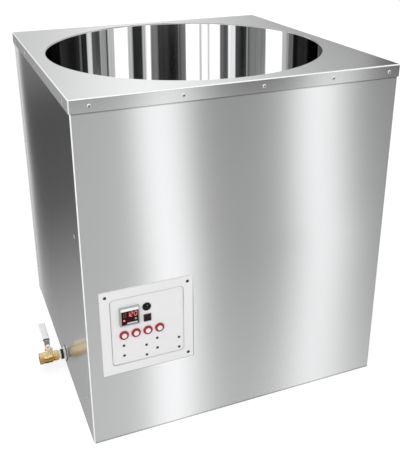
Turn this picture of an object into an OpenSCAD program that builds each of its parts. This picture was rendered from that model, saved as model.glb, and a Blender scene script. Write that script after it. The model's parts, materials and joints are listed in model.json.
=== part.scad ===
// Candle wax melter: a square stainless steel cabinet around a round heated tank, with a
// control panel on the front and a brass ball valve on the left side to draw the wax off.
// The origin is the centre of the cabinet's underside. X runs to the right along the front,
// Y runs from the front to the back and Z points up. All lengths are in millimetres.

/* [Cabinet] */
// Width of the top cover along the front
cover_w = 800; // [790:5:900]
// Depth of the top cover from front to back
cover_d = 800; // [790:5:900]
// Height from the underside to the top face
total_h = 875; // [820:5:1000]
// Thickness of the top cover's sheet
cover_t = 1.5; // [1:0.5:2.5]
// Height of the skirt turned down round the top cover
skirt_h = 30; // [24:1:45]
// Thickness of the casing's sheet
casing_t = 1.5; // [1:0.5:2.5]
// Thickness of the rear cover's sheet
rear_t = 1; // [0.8:0.1:1.5]
// Outer radius of the folds in the sheet metal
fold_r = 3; // [2.6:0.2:5]
// Width of the rear cover's flanges that lap the sides
rear_lap = 30; // [20:1:40]
// Thickness of the base tray's sheet
base_t = 1.5; // [1:0.5:3]
// Height of the base tray's upturned lips
base_lip_h = 14; // [8:1:16]

/* [Tank] */
// Width of the top cover where it is narrowest, beside the round opening
rim_w = 33; // [29:1:60]
// Thickness of the tank's sheet
tank_t = 1.5; // [1:0.5:2.5]
// Height of the tank's underside above the floor
tank_lift = 18; // [12:1:18]
// Width of the flange round the tank's top
tank_flange_w = 18; // [10:1:22]
// Outer radius where the tank's wall turns into its floor
tank_knuckle_r = 6; // [3:1:6]
// Thickness of the seal between the tank's flange and the cover
seal_t = 2; // [1:0.5:4]
// Height of each band heater
band_h = 90; // [50:5:110]
// Thickness of each band heater
band_t = 4; // [2:0.5:6]
// Thickness of the insulation round the tank
blanket_t = 16; // [8:1:19]

/* [Outlet] */
// Height of the outlet's axis above the floor
outlet_z = 35; // [35:1:42]
// Place of the outlet's axis along Y
outlet_y = -60; // [-120:5:120]
// Outside diameter of the outlet pipe
pipe_d = 21.3; // [20.5:0.1:24]
// Inside diameter of the pipe and of the port through the ball
port_d = 14; // [10:0.5:15]
// Distance from the casing to the valve's inlet face
valve_standoff = 21; // [18:0.5:30]
// Length of the valve from face to face
valve_len = 53; // [50:0.5:62]
// Diameter of the threaded holes at both ends of the valve
thread_d = 18.6; // [17:0.1:20]
// Length of the lever from the stem's axis to the sleeve's tip
lever_len = 99; // [70:1:130]
// Width of the lever's steel strip
lever_w = 15; // [12:1:18]

/* [Control panel] */
// Width and height of the square control panel
panel_w = 226; // [220:2:260]
// Distance from the cover's left edge to the panel
panel_left = 36; // [34:1:60]
// Height of the panel's lower edge above the floor
panel_bottom = 194.5; // [120:0.5:400]
// Thickness of the panel's raised frame
panel_t = 4.5; // [4:0.5:7]
// Depth of the sunken field inside the frame
field_depth = 2; // [1:0.5:2.5]
// Width of the raised frame round the sunken field
field_inset = 23; // [20:1:25]
// Width and height of the temperature controller's bezel
controller_w = 48; // [46:0.5:50]
// Outside diameter of the push-button collars
collar_d = 22.5; // [19:0.5:26]
// Diameter of the push-button caps
cap_d = 12.1; // [10:0.1:13]
// Distance between the push-buttons
button_pitch = 29.1; // [27:0.1:30]
// Travel of the push-buttons
button_travel = 3; // [1:0.5:4]

/* [Hidden] */
$fn = 96;

// Running clearance between turned parts, gap at seats, overrun of cuts and gap at a lap
fit_gap = 0.05;
seat_gap = 0.3;
over = 1;
hex_side_share = cos(30);

// Cabinet: the casing stands inside the skirt by the rear cover's thickness and a gap
skirt_gap = rear_t + seat_gap;
casing_w = cover_w - 2 * (cover_t + skirt_gap);
casing_d = cover_d - 2 * (cover_t + skirt_gap);
inner_w = casing_w - 2 * casing_t;
inner_d = casing_d - 2 * casing_t;
cover_under_z = total_h - cover_t;
skirt_bottom_z = total_h - skirt_h;
casing_h = cover_under_z - fold_r;
rear_return = 15;
rear_cover_h = casing_h - 2 * fold_r;

// Posts: angles of unequal legs in the four corners, with one rivet seen on each side
post_t = 2;
post_front_leg = 40;
post_side_leg = 70;
post_rivet_inset = 52;
post_rivet_z_shares = [0.12, 0.624];
tray_relief = 4;

// Rails: three hat-section channels under the tank, spaced and cut to suit its radius
rail_pitch_share = 0.49;
rail_len_share = 1.52;
rail_top_w = 40;
rail_foot_w = 14;
rail_t = 1.5;

// Rivets and screws
rivet_head_r = 4.6;
rivet_head_h = 1.7;
rivet_shank_r = 2;
rivet_bulb_r = 2.8;
rivet_bulb_h = 3;
rivet_drop = 16.5;
mandrel_r = 1.3;
mandrel_depth = 0.9;
front_rivet_shares = [-0.446, -0.191, 0.047, 0.269, 0.461];
side_rivet_shares = [-0.4225, -0.2022, 0.0178, 0.2053, 0.4327];
screw_shank_r = 2;
screw_head_r = 4;
screw_head_h = 2.2;
screw_len = 9;
drive_r = 1.3;
drive_depth = 1.1;
hole_gap = 0.1;
rear_screw_z_shares = [0.1, 0.49, 0.88];

// Tank and what is wrapped round it, from the inside out
tank_r = min(cover_w, cover_d) / 2 - rim_w;
tank_outer_r = tank_r + tank_t;
rail_pitch = tank_r * rail_pitch_share;
rail_len = tank_r * rail_len_share;
tank_top_z = cover_under_z - seal_t;
band_r = tank_outer_r + seat_gap;
blanket_r = band_r + band_t + seat_gap;
jacket_r = blanket_r + blanket_t + seat_gap;
jacket_t = 0.8;
zone_count = 4;
band_first_clear = 52;
band_last_clear = 140;
band_first_z = tank_lift + band_first_clear;
band_last_z = tank_top_z - band_last_clear - band_h;
band_pitch = (band_last_z - band_first_z) / (zone_count - 1);
seam_az = 225;
seam_w = 50;
band_split = 8;
lug_t = 2;
lug_out = 14;
lug_h = 24;
clamp_bolt_r = 2;
clamp_bolt_len = 20;
clamp_head_af = 7;
clamp_head_h = 3;
heater_stud_r = 2.5;
heater_stud_len = 9;
heater_stud_dy = 18;
blanket_top_z = tank_top_z - tank_t - over;
pad_inset = 37;
pad_gap = 0.5;

// Probe and thermostat on the tank's wall at the seam
probe_r = 3;
probe_len = 26;
probe_nut_af = 12;
probe_nut_h = 6;
thermostat_r = 12;
thermostat_h = 8;
thermostat_cap_r = 8;
thermostat_cap_h = 5;

// Outlet pipe and the pieces that clamp it in the casing
pipe_r = pipe_d / 2;
port_r = port_d / 2;
outlet_gasket_t = 1.5;
outlet_gasket_r = 22;
outlet_flange_t = 5.5;
outlet_flange_r = 21;
outlet_flange_top_r = 14;
locknut_from = outlet_gasket_t + outlet_flange_t;
locknut_t = 7;
locknut_af = 27;
nut_chamfer = 1.2;

// Ball valve, measured outward from its inlet face and up from its axis
thread_r = thread_d / 2;
inlet_thread_len = 11;
outlet_thread_len = 11;
ball_r = 10.6;
ball_at = 27;
ball_gap = 0.3;
seat_len = 4.8;
chamber_r = 12.4;
chamber_from = ball_at - ball_r;
chamber_to = ball_at + ball_r;
inlet_hex_af = 27;
inlet_hex_len = 11;
adapter_seat_len = 4;
waist_r = 13.6;
waist_len = 4;
barrel_r = 16;
barrel_end_r = 15;
body_end = chamber_to + adapter_seat_len;
adapter_hex_af = 30;
neck_foot_r = 10.5;
neck_top_r = 8.6;
neck_h = 24;
stem_r = 4;
stem_foot_r = 5.5;
stem_foot_h = 1.5;
stem_foot_z = ball_r + fit_gap;
stem_tip_r = 3.2;
tongue_w = 3.4;
tongue_len = 9;
tongue_depth = 2.2;
packing_r = 6.4;
packing_from = 18;
packing_h = 5;
packing_nut_af = 16;
packing_nut_h = 5.5;
lever_lift = 0.5;
lever_root_z = neck_h + packing_nut_h + lever_lift;
lever_t = 3;
lever_rise = 15;
lever_root_r = 9;
joggle_from = 8;
joggle_to = 13;
lever_nut_af = 11;
lever_nut_h = 5;
stem_tip_over = 2;
stop_reach = 13;
stop_tab_w = 7;
stop_tab_h = 7;
stop_gap = 0.15;
stop_lug_w = 3.6;
stop_lug_rise = 3;
collar_len = 5.5;
band_wall = 1.4;
sleeve_wall = 1.8;
sleeve_tip = 2;

// Control panel; its local origin is on the sunken field, with y going into the cabinet
casing_front_y = -casing_d / 2;
panel_gasket_t = 1;
field_y = casing_front_y - panel_gasket_t - panel_t + field_depth;
panel_back = panel_t - field_depth;
panel_x = -cover_w / 2 + panel_left + panel_w / 2;
panel_z = panel_bottom + panel_w / 2;
panel_corner_r = 2;
field_w = panel_w - 2 * field_inset;
field_r = 9;
cutout_inset = 18;
cutout_w = panel_w - 2 * cutout_inset;
cutout_r = 4;
panel_screw_inset = 13;
plug_r = 4.6;
plug_h = 0.9;

// Temperature controller
controller_dx = -44.8;
controller_dz = 41.1;
controller_front = 6;
controller_body_w = 44.6;
controller_body_len = 78;
controller_corner_r = 1.5;
window_w = 41;
window_h = 36;
window_dx = 1.1;
window_dz = -3.4;
window_t = 1.6;
window_sunk = 0.6;
window_y = -controller_front + window_sunk;
key_strip_w = 25;
key_strip_h = 3.6;
key_strip_t = 0.5;
key_strip_dx = 5;
key_count = 4;
key_groove = 0.5;
controller_slot_count = 6;
controller_slot_w = 2;
controller_slot_depth = 1;
clamp_wall = 3.6;
clamp_len = 12;
clamp_rib_h = 1.5;
clamp_rib_len = 3;

// Round mains switch with a rocker
main_switch_dx = -1.6;
main_switch_dz = 54.3;
main_bezel_r = 10.5;
main_bezel_t = 1.6;
main_body_r = 9.6;
main_cavity_r = 9;
main_cavity_depth = 7;
main_body_len = 22;
rocker_r = 8;
rocker_pivot = 2.5;
rocker_edge = 1.5;
rocker_valley = 0.3;
rocker_back = 5;
rocker_back_r = 5;
rocker_pin_r = 1.2;
rocker_tilt = 10;
blade_w = 4.8;
blade_t = 0.8;
blade_len = 8;
blade_spread = 4;

// Square push-button
square_dx = -1;
square_dz = 24.8;
square_bezel_w = 18;
square_bezel_t = 3;
square_window_w = 14.2;
square_cap_w = 13.6;
square_cap_t = 1.4;
square_proud = 0.5;
square_travel = 1.5;
square_barrel_r = 7.9;
square_bore_r = 6.6;
square_barrel_len = 24;
square_nut_af = 20;
square_stem_r = 4;
square_stem_len = 9;
square_cap_back = square_cap_t - square_bezel_t - square_proud;
square_bore_depth = square_stem_len - square_bezel_t + square_travel + seat_gap;

// Four round push-buttons, one for each heater band
button_row_dz = -10;
button_first_dx = -59;
collar_h = 4;
collar_lip_h = 2.8;
collar_edge_r = 1.6;
cap_r = cap_d / 2;
cap_flange_w = 0.9;
cap_flange_r = cap_r + cap_flange_w;
cap_flange_t = 1.4;
cap_flange_y = -collar_h + collar_lip_h + fit_gap;
cap_proud = 1.1;
collar_wall = 0.8;
collar_bore_r = cap_flange_r + seat_gap;
collar_barrel_r = collar_bore_r + collar_wall;
collar_barrel_len = 13;
plunger_r = 2;
plunger_len = 7;
switch_w = 14;
switch_len = 14;
switch_plug_len = 4;
button_nut_af = 20;
button_nut_h = 3;

// Relays on the back of the panel, each held by two screws on its diagonal
relay_col_dx = [-32.8, 49.6];
relay_row_dz = [-45.6, -73.5];
relay_body_w = 44;
relay_body_h = 22;
relay_body_t = 26;
relay_ear_dx = 27.6;
relay_ear_dz = 6.2;
relay_ear_r = 4.5;
relay_ear_t = 3;
relay_screw_r = 1.5;
relay_head_r = 3.5;
relay_head_h = 1.8;
relay_screw_len = 7;

// Terminal block on the base tray
block_w = 62;
block_d = 20;
block_h = 17;
block_foot_h = 3;
block_ways = 6;
block_wall = 1.6;
block_well_depth = 9;
block_dx = 72;
block_dy = 44;

// Cable gland in the rear cover, placed from the cabinet's left edge
gland_from_left = 60;
gland_z = 50;
gland_bore_r = 3.6;
gland_thread_r = 8;
gland_hex_af = 22;
gland_hex_h = 5;
gland_inside = 10;
gland_outside = 12;
gland_nut_h = 4;
dome_nut_len = 17;
dome_grip_len = 8;
dome_tip_r = 6.5;

steel = "#c6c9cb";
polished = "#dfe2e4";
zinc = "#a9adb0";
brass = "#c79a3f";
white_plastic = "#eceded";
black_plastic = "#1c1c1e";
red_plastic = "#8e1218";

// Round bar along each axis, between two places on it
module rod_x(r, from, to) translate([from, 0, 0]) rotate([0, 90, 0]) cylinder(r = r, h = to - from);
module rod_y(r, from, to) translate([0, from, 0]) rotate([-90, 0, 0]) cylinder(r = r, h = to - from);
module rod_z(r, from, to) translate([0, 0, from]) cylinder(r = r, h = to - from);

// Hexagonal bar along each axis, by its size across the flats
module hex_x(af, from, to)
    translate([from, 0, 0]) rotate([0, 90, 0]) cylinder(r = af / 2 / hex_side_share, h = to - from, $fn = 6);
module hex_y(af, from, to)
    translate([0, from, 0]) rotate([-90, 0, 0]) cylinder(r = af / 2 / hex_side_share, h = to - from, $fn = 6);
module hex_z(af, from, to)
    translate([0, 0, from]) cylinder(r = af / 2 / hex_side_share, h = to - from, $fn = 6);

// Block centred on x and z, between two places along y
module block_y(w, h, from, to) translate([-w / 2, from, -h / 2]) cube([w, to - from, h]);

// Rectangle with round corners, centred
module rounded_rect(w, d, r) {
    square([w, d - 2 * r], center = true);
    square([w - 2 * r, d], center = true);
    for (sx = [-1, 1], sy = [-1, 1])
        translate([sx * (w / 2 - r), sy * (d / 2 - r)]) circle(r = r);
}

// Plate with round corners that stands on edge, between two places along y
module rounded_plate_y(w, h, r, from, to)
    translate([0, to, 0]) rotate([90, 0, 0]) linear_extrude(to - from) rounded_rect(w, h, r);

// Solid box whose upright edges and top edges are rounded alike
module folded_box(w, d, h, r) {
    linear_extrude(h - r) rounded_rect(w, d, r);
    linear_extrude(h) square([w - 2 * r, d - 2 * r], center = true);
    for (s = [-1, 1]) {
        translate([0, s * (d / 2 - r), h - r]) rod_x(r, -w / 2 + r, w / 2 - r);
        translate([s * (w / 2 - r), 0, h - r]) rod_y(r, -d / 2 + r, d / 2 - r);
        for (q = [-1, 1])
            translate([s * (w / 2 - r), q * (d / 2 - r), h - r]) sphere(r = r);
    }
}

// Places children at each rivet of the top cover, with their z axis pointing out of the face
module at_cover_rivets(out) {
    for (side = [-1, 1]) {
        for (share = front_rivet_shares)
            translate([share * cover_w, side * (cover_d / 2 - cover_t + out), total_h - rivet_drop])
                rotate([-90 * side, 0, 0]) children();
        for (share = side_rivet_shares)
            translate([side * (cover_w / 2 - cover_t + out), share * cover_d, total_h - rivet_drop])
                rotate([0, 90 * side, 0]) children();
    }
}

// Places children at each rivet of the corner posts, on the casing's two sides
module at_post_rivets()
    for (side = [-1, 1], end = [-1, 1], share = post_rivet_z_shares)
        translate([side * casing_w / 2, end * (casing_d / 2 - post_rivet_inset), share * total_h])
            rotate([0, 90 * side, 0]) children();

// Places children at each screw of the rear cover, with their z axis pointing to the rear
module at_rear_screws()
    for (side = [-1, 1], share = rear_screw_z_shares)
        translate([side * (inner_w - rear_return) / 2, casing_d / 2 + rear_t, share * total_h])
            rotate([-90, 0, 0]) children();

// Blind rivet: a low dome with the mandrel's hole, a shank and the bulb behind the sheets
module blind_rivet(grip) {
    dome_r = (pow(rivet_head_r, 2) + pow(rivet_head_h, 2)) / (2 * rivet_head_h);
    difference() {
        union() {
            intersection() {
                translate([0, 0, rivet_head_h - dome_r]) sphere(r = dome_r);
                rod_z(rivet_head_r, 0, rivet_head_h);
            }
            rod_z(rivet_shank_r, -grip - rivet_bulb_h, mandrel_depth / 2);
            rod_z(rivet_bulb_r, -grip - rivet_bulb_h, -grip);
        }
        rod_z(mandrel_r, rivet_head_h - mandrel_depth, rivet_head_h + over);
    }
}

// Pan-head screw along z, its head above the sheet
module pan_screw(head_r, head_h, shank_r, length) {
    dome_r = (pow(head_r, 2) + pow(head_h, 2)) / (2 * head_h);
    difference() {
        union() {
            intersection() {
                translate([0, 0, head_h - dome_r]) sphere(r = dome_r);
                rod_z(head_r, 0, head_h);
            }
            rod_z(shank_r, -length, head_h / 2);
        }
        hex_z(2 * drive_r, head_h - drive_depth, head_h + over);
    }
}

// Cabinet

// Front and both sides in one sheet, folded at the front corners and turned in at the rear
module casing_wrap() color(steel)
    difference() {
        linear_extrude(casing_h) difference() {
            rounded_rect(casing_w, casing_d, fold_r);
            rounded_rect(inner_w, inner_d, fold_r - casing_t);
            translate([0, casing_d / 2])
                square([inner_w - 2 * rear_return, 2 * casing_t + over], center = true);
        }
        translate([panel_x, casing_front_y, panel_z])
            rounded_plate_y(cutout_w, cutout_w, cutout_r, -over, casing_t + over);
        at_panel_screws() rod_y(screw_shank_r + hole_gap, -over, panel_t + panel_gasket_t + casing_t + over);
        at_cover_rivets(-skirt_gap) rod_z(rivet_shank_r + hole_gap, -casing_t - over, over);
        at_post_rivets() rod_z(rivet_shank_r + hole_gap, -casing_t - over, over);
        at_rear_screws() rod_z(screw_shank_r + hole_gap, -rear_t - casing_t - over, over);
        at_valve() rod_x(pipe_r + seat_gap, -casing_t - over, over);
    }

// Rear panel with a flange folded along each side to lap the casing
module rear_cover() color(steel)
    difference() {
        linear_extrude(rear_cover_h) difference() {
            rounded_rect(casing_w + 2 * rear_t, casing_d + 2 * rear_t, fold_r);
            rounded_rect(casing_w, casing_d, fold_r - rear_t);
            translate([0, -rear_lap])
                square([casing_w + 2 * rear_t + over, casing_d + 2 * rear_t], center = true);
        }
        at_rear_screws() rod_z(screw_shank_r + hole_gap, -rear_t - over, over);
        at_cover_rivets(-seat_gap) rod_z(rivet_shank_r + hole_gap, -skirt_gap - over, over);
        at_gland() rod_y(gland_thread_r + hole_gap, -rear_t - over, over);
    }

module rear_cover_screws() color(zinc)
    at_rear_screws() pan_screw(screw_head_r, screw_head_h, screw_shank_r, screw_len);

// Lid of folded sheet with welded corners, open over the tank
module top_cover() color(steel)
    difference() {
        translate([0, 0, skirt_bottom_z]) difference() {
            folded_box(cover_w, cover_d, skirt_h, fold_r);
            translate([0, 0, -over])
                folded_box(cover_w - 2 * cover_t, cover_d - 2 * cover_t, skirt_h - cover_t + over,
                           fold_r - cover_t);
        }
        rod_z(tank_r, skirt_bottom_z, total_h + over);
        at_cover_rivets(0) rod_z(rivet_shank_r + hole_gap, -over, cover_t + over);
    }

module cover_rivets() color(zinc)
    at_cover_rivets(cover_t) blind_rivet(cover_t + skirt_gap + casing_t);

// Floor of the cabinet, a shallow tray whose lips stop short of the corner posts
module base_tray() color(steel)
    difference() {
        union() {
            translate([-inner_w / 2, -inner_d / 2, 0]) cube([inner_w, inner_d, base_t]);
            for (side = [-1, 1]) {
                translate([side * (inner_w / 2 - base_t / 2), 0, base_lip_h / 2])
                    cube([base_t, inner_d - 2 * (post_side_leg + tray_relief), base_lip_h], center = true);
                translate([0, side * (inner_d / 2 - base_t / 2), base_lip_h / 2])
                    cube([inner_w - 2 * (post_front_leg + tray_relief), base_t, base_lip_h], center = true);
            }
        }
        for (sx = [-1, 1], sy = [-1, 1])
            translate([sx * inner_w / 2, sy * inner_d / 2, 0]) rod_z(tray_relief, -over, base_t + over);
    }

// Hat-section channels that carry the tank above the tray
module base_rails() color(zinc)
    for (k = [-1, 0, 1])
        translate([k * rail_pitch, rail_len / 2, base_t]) rotate([90, 0, 0]) linear_extrude(rail_len) {
            h = tank_lift - base_t;
            translate([-rail_top_w / 2, h - rail_t]) square([rail_top_w, rail_t]);
            for (side = [-1, 1]) {
                translate([side * (rail_top_w - rail_t) / 2, h / 2]) square([rail_t, h], center = true);
                translate([side * (rail_top_w + rail_foot_w - rail_t) / 2, rail_t / 2])
                    square([rail_foot_w, rail_t], center = true);
            }
        }

// Outline of an angle folded from sheet, its corner at the origin
module angle_outline(a, b, t, r)
    difference() {
        union() {
            translate([r, 0]) square([a - r, t]);
            translate([0, r]) square([t, b - r]);
            translate([r, r]) intersection() {
                circle(r = r);
                translate([-r, -r]) square([r, r]);
            }
        }
        translate([r, r]) circle(r = r - t);
    }

// Angles in the corners, from the tray up to the cover
module corner_posts() color(zinc)
    difference() {
        for (sx = [0, 1], sy = [0, 1])
            mirror([sx, 0, 0]) mirror([0, sy, 0])
                translate([-inner_w / 2, -inner_d / 2, base_t]) linear_extrude(cover_under_z - base_t)
                    angle_outline(post_front_leg, post_side_leg, post_t, fold_r);
        at_post_rivets() rod_z(rivet_shank_r + hole_gap, -casing_t - post_t - over, over);
        at_rear_screws() rod_z(screw_shank_r + hole_gap, -rear_t - casing_t - post_t - over, over);
        at_cover_rivets(-skirt_gap) rod_z(rivet_bulb_r + hole_gap, -casing_t - post_t - over, over);
    }

module post_rivets() color(zinc)
    at_post_rivets() blind_rivet(casing_t + post_t);

// Tank and heating

// Height of the lower edge of each heater band
function band_z(i) = band_first_z + i * band_pitch;

// Middle of the space above one band
function band_space_z(i) = band_z(i) + (band_h + band_pitch) / 2;

// Places children at a height on the seam, with their x axis pointing out from the tank
module at_seam(z) rotate([0, 0, seam_az]) translate([0, 0, z]) children();

// Polished tank of one sheet: floor, knuckle, wall and the flange under the cover
module tank() color(polished)
    difference() {
        rotate_extrude() {
            translate([0, tank_lift]) square([tank_outer_r - tank_knuckle_r, tank_t]);
            translate([tank_outer_r - tank_knuckle_r, tank_lift + tank_knuckle_r]) intersection() {
                difference() {
                    circle(r = tank_knuckle_r);
                    circle(r = tank_knuckle_r - tank_t);
                }
                translate([0, -tank_knuckle_r]) square([tank_knuckle_r, tank_knuckle_r]);
            }
            translate([tank_r, tank_lift + tank_knuckle_r])
                square([tank_t, tank_top_z - tank_lift - tank_knuckle_r]);
            translate([tank_r, tank_top_z - tank_t]) square([tank_flange_w, tank_t]);
        }
        at_valve() rod_x(pipe_r + hole_gap, -casing_w / 2, 0);
    }

module tank_seal() color("#5c5f62")
    difference() {
        rod_z(tank_r + tank_flange_w, tank_top_z, cover_under_z);
        rod_z(tank_outer_r, tank_top_z - over, cover_under_z + over);
    }

// Mica band heater, split at the seam and drawn tight by two lugs, with a stud for each lead
module heater_band(i) color("#8d8f90")
    at_seam(band_z(i)) difference() {
        union() {
            difference() {
                rod_z(band_r + band_t, 0, band_h);
                rod_z(band_r, -over, band_h + over);
                translate([0, -band_split / 2, -over])
                    cube([band_r + band_t + over, band_split, band_h + 2 * over]);
            }
            for (side = [-1, 1])
                translate([band_r + over, side * (band_split + lug_t) / 2 - lug_t / 2, (band_h - lug_h) / 2])
                    cube([lug_out, lug_t, lug_h]);
            for (side = [-1, 1])
                translate([band_r, side * heater_stud_dy, band_h / 2])
                    rod_x(heater_stud_r, band_t / 2, band_t + heater_stud_len);
        }
        translate([band_r + band_t + lug_out / 2, 0, band_h / 2])
            rod_y(clamp_bolt_r + hole_gap, -band_split, band_split);
    }

module heater_clamp_bolts() color(zinc)
    for (i = [0 : zone_count - 1])
        at_seam(band_z(i) + band_h / 2) translate([band_r + band_t + lug_out / 2, 0, 0]) {
            rod_y(clamp_bolt_r, -clamp_bolt_len / 2, clamp_bolt_len / 2);
            for (side = [-1, 1])
                translate([0, side * (band_split / 2 + lug_t + clamp_head_h / 2), 0])
                    hex_y(clamp_head_af, -clamp_head_h / 2, clamp_head_h / 2);
        }

// Slot over the seam for the lugs, the probe and the thermostat
module seam_slot(r_from, r_to)
    rotate([0, 0, seam_az]) translate([r_from, -seam_w / 2, tank_lift - over])
        cube([r_to - r_from, seam_w, tank_top_z]);

// Mineral wool round the heaters
module insulation_blanket() color("#d8cfa8")
    difference() {
        rod_z(blanket_r + blanket_t, tank_lift, blanket_top_z);
        rod_z(blanket_r, tank_lift - over, blanket_top_z + over);
        seam_slot(blanket_r - band_t, jacket_r + over);
        at_valve() rod_x(pipe_r + seat_gap, -casing_w / 2, 0);
    }

// Thin sheet wrapped round the blanket
module insulation_jacket() color(zinc)
    difference() {
        rod_z(jacket_r + jacket_t, tank_lift, blanket_top_z);
        rod_z(jacket_r, tank_lift - over, blanket_top_z + over);
        seam_slot(jacket_r - blanket_t, jacket_r + jacket_t + over);
        at_valve() rod_x(pipe_r + seat_gap, -casing_w / 2, 0);
    }

// Slab of mineral wool under the tank, slotted for the rails
module floor_insulation() color("#d8cfa8")
    difference() {
        rod_z(tank_r - pad_inset, base_t, tank_lift - pad_gap);
        for (k = [-1, 0, 1])
            translate([k * rail_pitch - rail_top_w / 2 - rail_foot_w - pad_gap, -rail_len / 2 - pad_gap, 0])
                cube([rail_top_w + 2 * (rail_foot_w + pad_gap), rail_len + 2 * pad_gap, tank_lift]);
    }

// Sensor screwed to the wall between the first two bands
module temperature_probe() color(zinc)
    at_seam(band_space_z(0)) {
        rod_x(probe_r, tank_outer_r + seat_gap, tank_outer_r + seat_gap + probe_len);
        hex_x(probe_nut_af, tank_outer_r + seat_gap, tank_outer_r + seat_gap + probe_nut_h);
    }

// Disc thermostat that cuts the heaters off, between the second and third bands
module overheat_thermostat() color(black_plastic)
    at_seam(band_space_z(1)) {
        rod_x(thermostat_r, tank_outer_r + seat_gap, tank_outer_r + seat_gap + thermostat_h);
        rod_x(thermostat_cap_r, tank_outer_r + seat_gap,
              tank_outer_r + seat_gap + thermostat_h + thermostat_cap_h);
    }

// Outlet and ball valve

// Local frame of the outlet: x points out of the casing's left side, from its outer face
module at_valve() translate([-casing_w / 2, outlet_y, outlet_z]) mirror([1, 0, 0]) children();

// The same frame moved to the valve's inlet face, and to the stem over the ball
module at_inlet() at_valve() translate([valve_standoff, 0, 0]) children();
module at_ball() at_inlet() translate([ball_at, 0, 0]) children();

// Stub welded flush into the tank's wall, with a spigot for the valve's inlet
module outlet_pipe() color(polished)
    difference() {
        at_valve() difference() {
            union() {
                rod_x(pipe_r, -casing_w / 2, valve_standoff);
                rod_x(thread_r - fit_gap, valve_standoff - over, valve_standoff + inlet_thread_len - over);
            }
            rod_x(port_r, -casing_w / 2 - over, valve_standoff + valve_len);
        }
        rod_z(tank_r, 0, total_h);
    }

module outlet_gasket() color(black_plastic)
    at_valve() difference() {
        rod_x(outlet_gasket_r, 0, outlet_gasket_t);
        rod_x(pipe_r + fit_gap, -over, outlet_gasket_t + over);
    }

// Coned steel washer that covers the hole in the casing
module outlet_flange() color(polished)
    at_valve() difference() {
        union() {
            rod_x(outlet_flange_r, outlet_gasket_t, outlet_gasket_t + over);
            translate([outlet_gasket_t + over, 0, 0]) rotate([0, 90, 0])
                cylinder(r1 = outlet_flange_r, r2 = outlet_flange_top_r, h = outlet_flange_t - over);
        }
        rod_x(pipe_r + fit_gap, 0, outlet_gasket_t + outlet_flange_t + over);
    }

// Hexagonal nut whose corners are turned off at both ends
module chamfered_nut_x(af, from, to) {
    corner_r = af / 2 / hex_side_share;
    intersection() {
        hex_x(af, from, to);
        union() {
            translate([from, 0, 0]) rotate([0, 90, 0])
                cylinder(r1 = corner_r - nut_chamfer, r2 = corner_r + fit_gap, h = nut_chamfer);
            rod_x(corner_r + fit_gap, from + nut_chamfer, to - nut_chamfer);
            translate([to - nut_chamfer, 0, 0]) rotate([0, 90, 0])
                cylinder(r1 = corner_r + fit_gap, r2 = corner_r - nut_chamfer, h = nut_chamfer);
        }
    }
}

module outlet_locknut() color(black_plastic)
    at_valve() difference() {
        chamfered_nut_x(locknut_af, locknut_from, locknut_from + locknut_t);
        rod_x(pipe_r + fit_gap, 0, valve_standoff);
    }

// Two lugs cast on the neck, a quarter turn apart, that the lever's tab comes up against
module stop_lugs() {
    upstand = stop_reach - packing_nut_af / 2 / hex_side_share - lever_lift;
    for (turn = [0, 1])
        rotate([0, 0, -90 * turn]) mirror([turn, 0, 0])
            translate([stop_tab_w / 2 + stop_gap, -stop_reach, 0]) {
                translate([0, 0, neck_foot_r]) cube([stop_lug_w, stop_reach, neck_h - neck_foot_r]);
                cube([stop_lug_w, upstand, neck_h + stop_lug_rise]);
            }
}

// Forged body: inlet hexagon, barrel round the ball and neck round the stem
module valve_body() color(brass)
    at_inlet() difference() {
        union() {
            chamfered_nut_x(inlet_hex_af, 0, inlet_hex_len);
            rod_x(waist_r, inlet_hex_len - over, inlet_hex_len + waist_len);
            translate([inlet_hex_len + waist_len - over, 0, 0]) rotate([0, 90, 0])
                cylinder(r1 = waist_r - over, r2 = barrel_r, h = waist_len);
            rod_x(barrel_r, inlet_hex_len + 2 * waist_len - over, body_end - waist_len);
            translate([body_end - waist_len, 0, 0]) rotate([0, 90, 0])
                cylinder(r1 = barrel_r, r2 = barrel_end_r, h = waist_len);
            translate([ball_at, 0, neck_foot_r])
                cylinder(r1 = neck_foot_r, r2 = neck_top_r, h = neck_h - neck_foot_r);
            translate([ball_at, 0, 0]) rod_z(neck_foot_r, 0, neck_foot_r);
            translate([ball_at, 0, 0]) stop_lugs();
        }
        rod_x(thread_r, -over, inlet_thread_len);
        rod_x(port_r, 0, chamber_to);
        rod_x(chamber_r, chamber_from, body_end + over);
        translate([ball_at, 0, 0]) {
            rod_z(stem_foot_r + seat_gap, 0, stem_foot_z + stem_foot_h + fit_gap);
            rod_z(stem_r + fit_gap, 0, neck_h + over);
            rod_z(packing_r + hole_gap, packing_from, neck_h + over);
        }
    }

// Screwed end piece that traps the ball and holds the outlet's thread
module valve_end_adapter() color(brass)
    at_inlet() difference() {
        union() {
            rod_x(chamber_r - hole_gap, chamber_to, body_end + over);
            chamfered_nut_x(adapter_hex_af, body_end, valve_len);
        }
        rod_x(port_r, chamber_to - over, valve_len);
        rod_x(thread_r, valve_len - outlet_thread_len, valve_len + over);
    }

// Two soft rings that the ball turns against
module valve_seats() color("#e8e6df")
    at_ball() for (side = [-1, 1])
        rotate([0, 90 * side, 0]) rotate_extrude() difference() {
            translate([port_r, ball_r - seat_len])
                square([chamber_r - hole_gap - port_r, seat_len - fit_gap]);
            circle(r = ball_r + ball_gap);
        }

module stem_packing() color("#e8e6df")
    at_ball() difference() {
        rod_z(packing_r, packing_from + fit_gap, packing_from + packing_h);
        rod_z(stem_r + fit_gap, packing_from - over, packing_from + packing_h + over);
    }

// Gland nut that presses the packing down on the stem
module packing_nut() color(polished)
    at_ball() difference() {
        union() {
            rod_z(packing_r, packing_from + packing_h, neck_h + over);
            hex_z(packing_nut_af, neck_h, neck_h + packing_nut_h);
        }
        rod_z(stem_r + fit_gap, packing_from, neck_h + packing_nut_h + over);
    }

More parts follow.
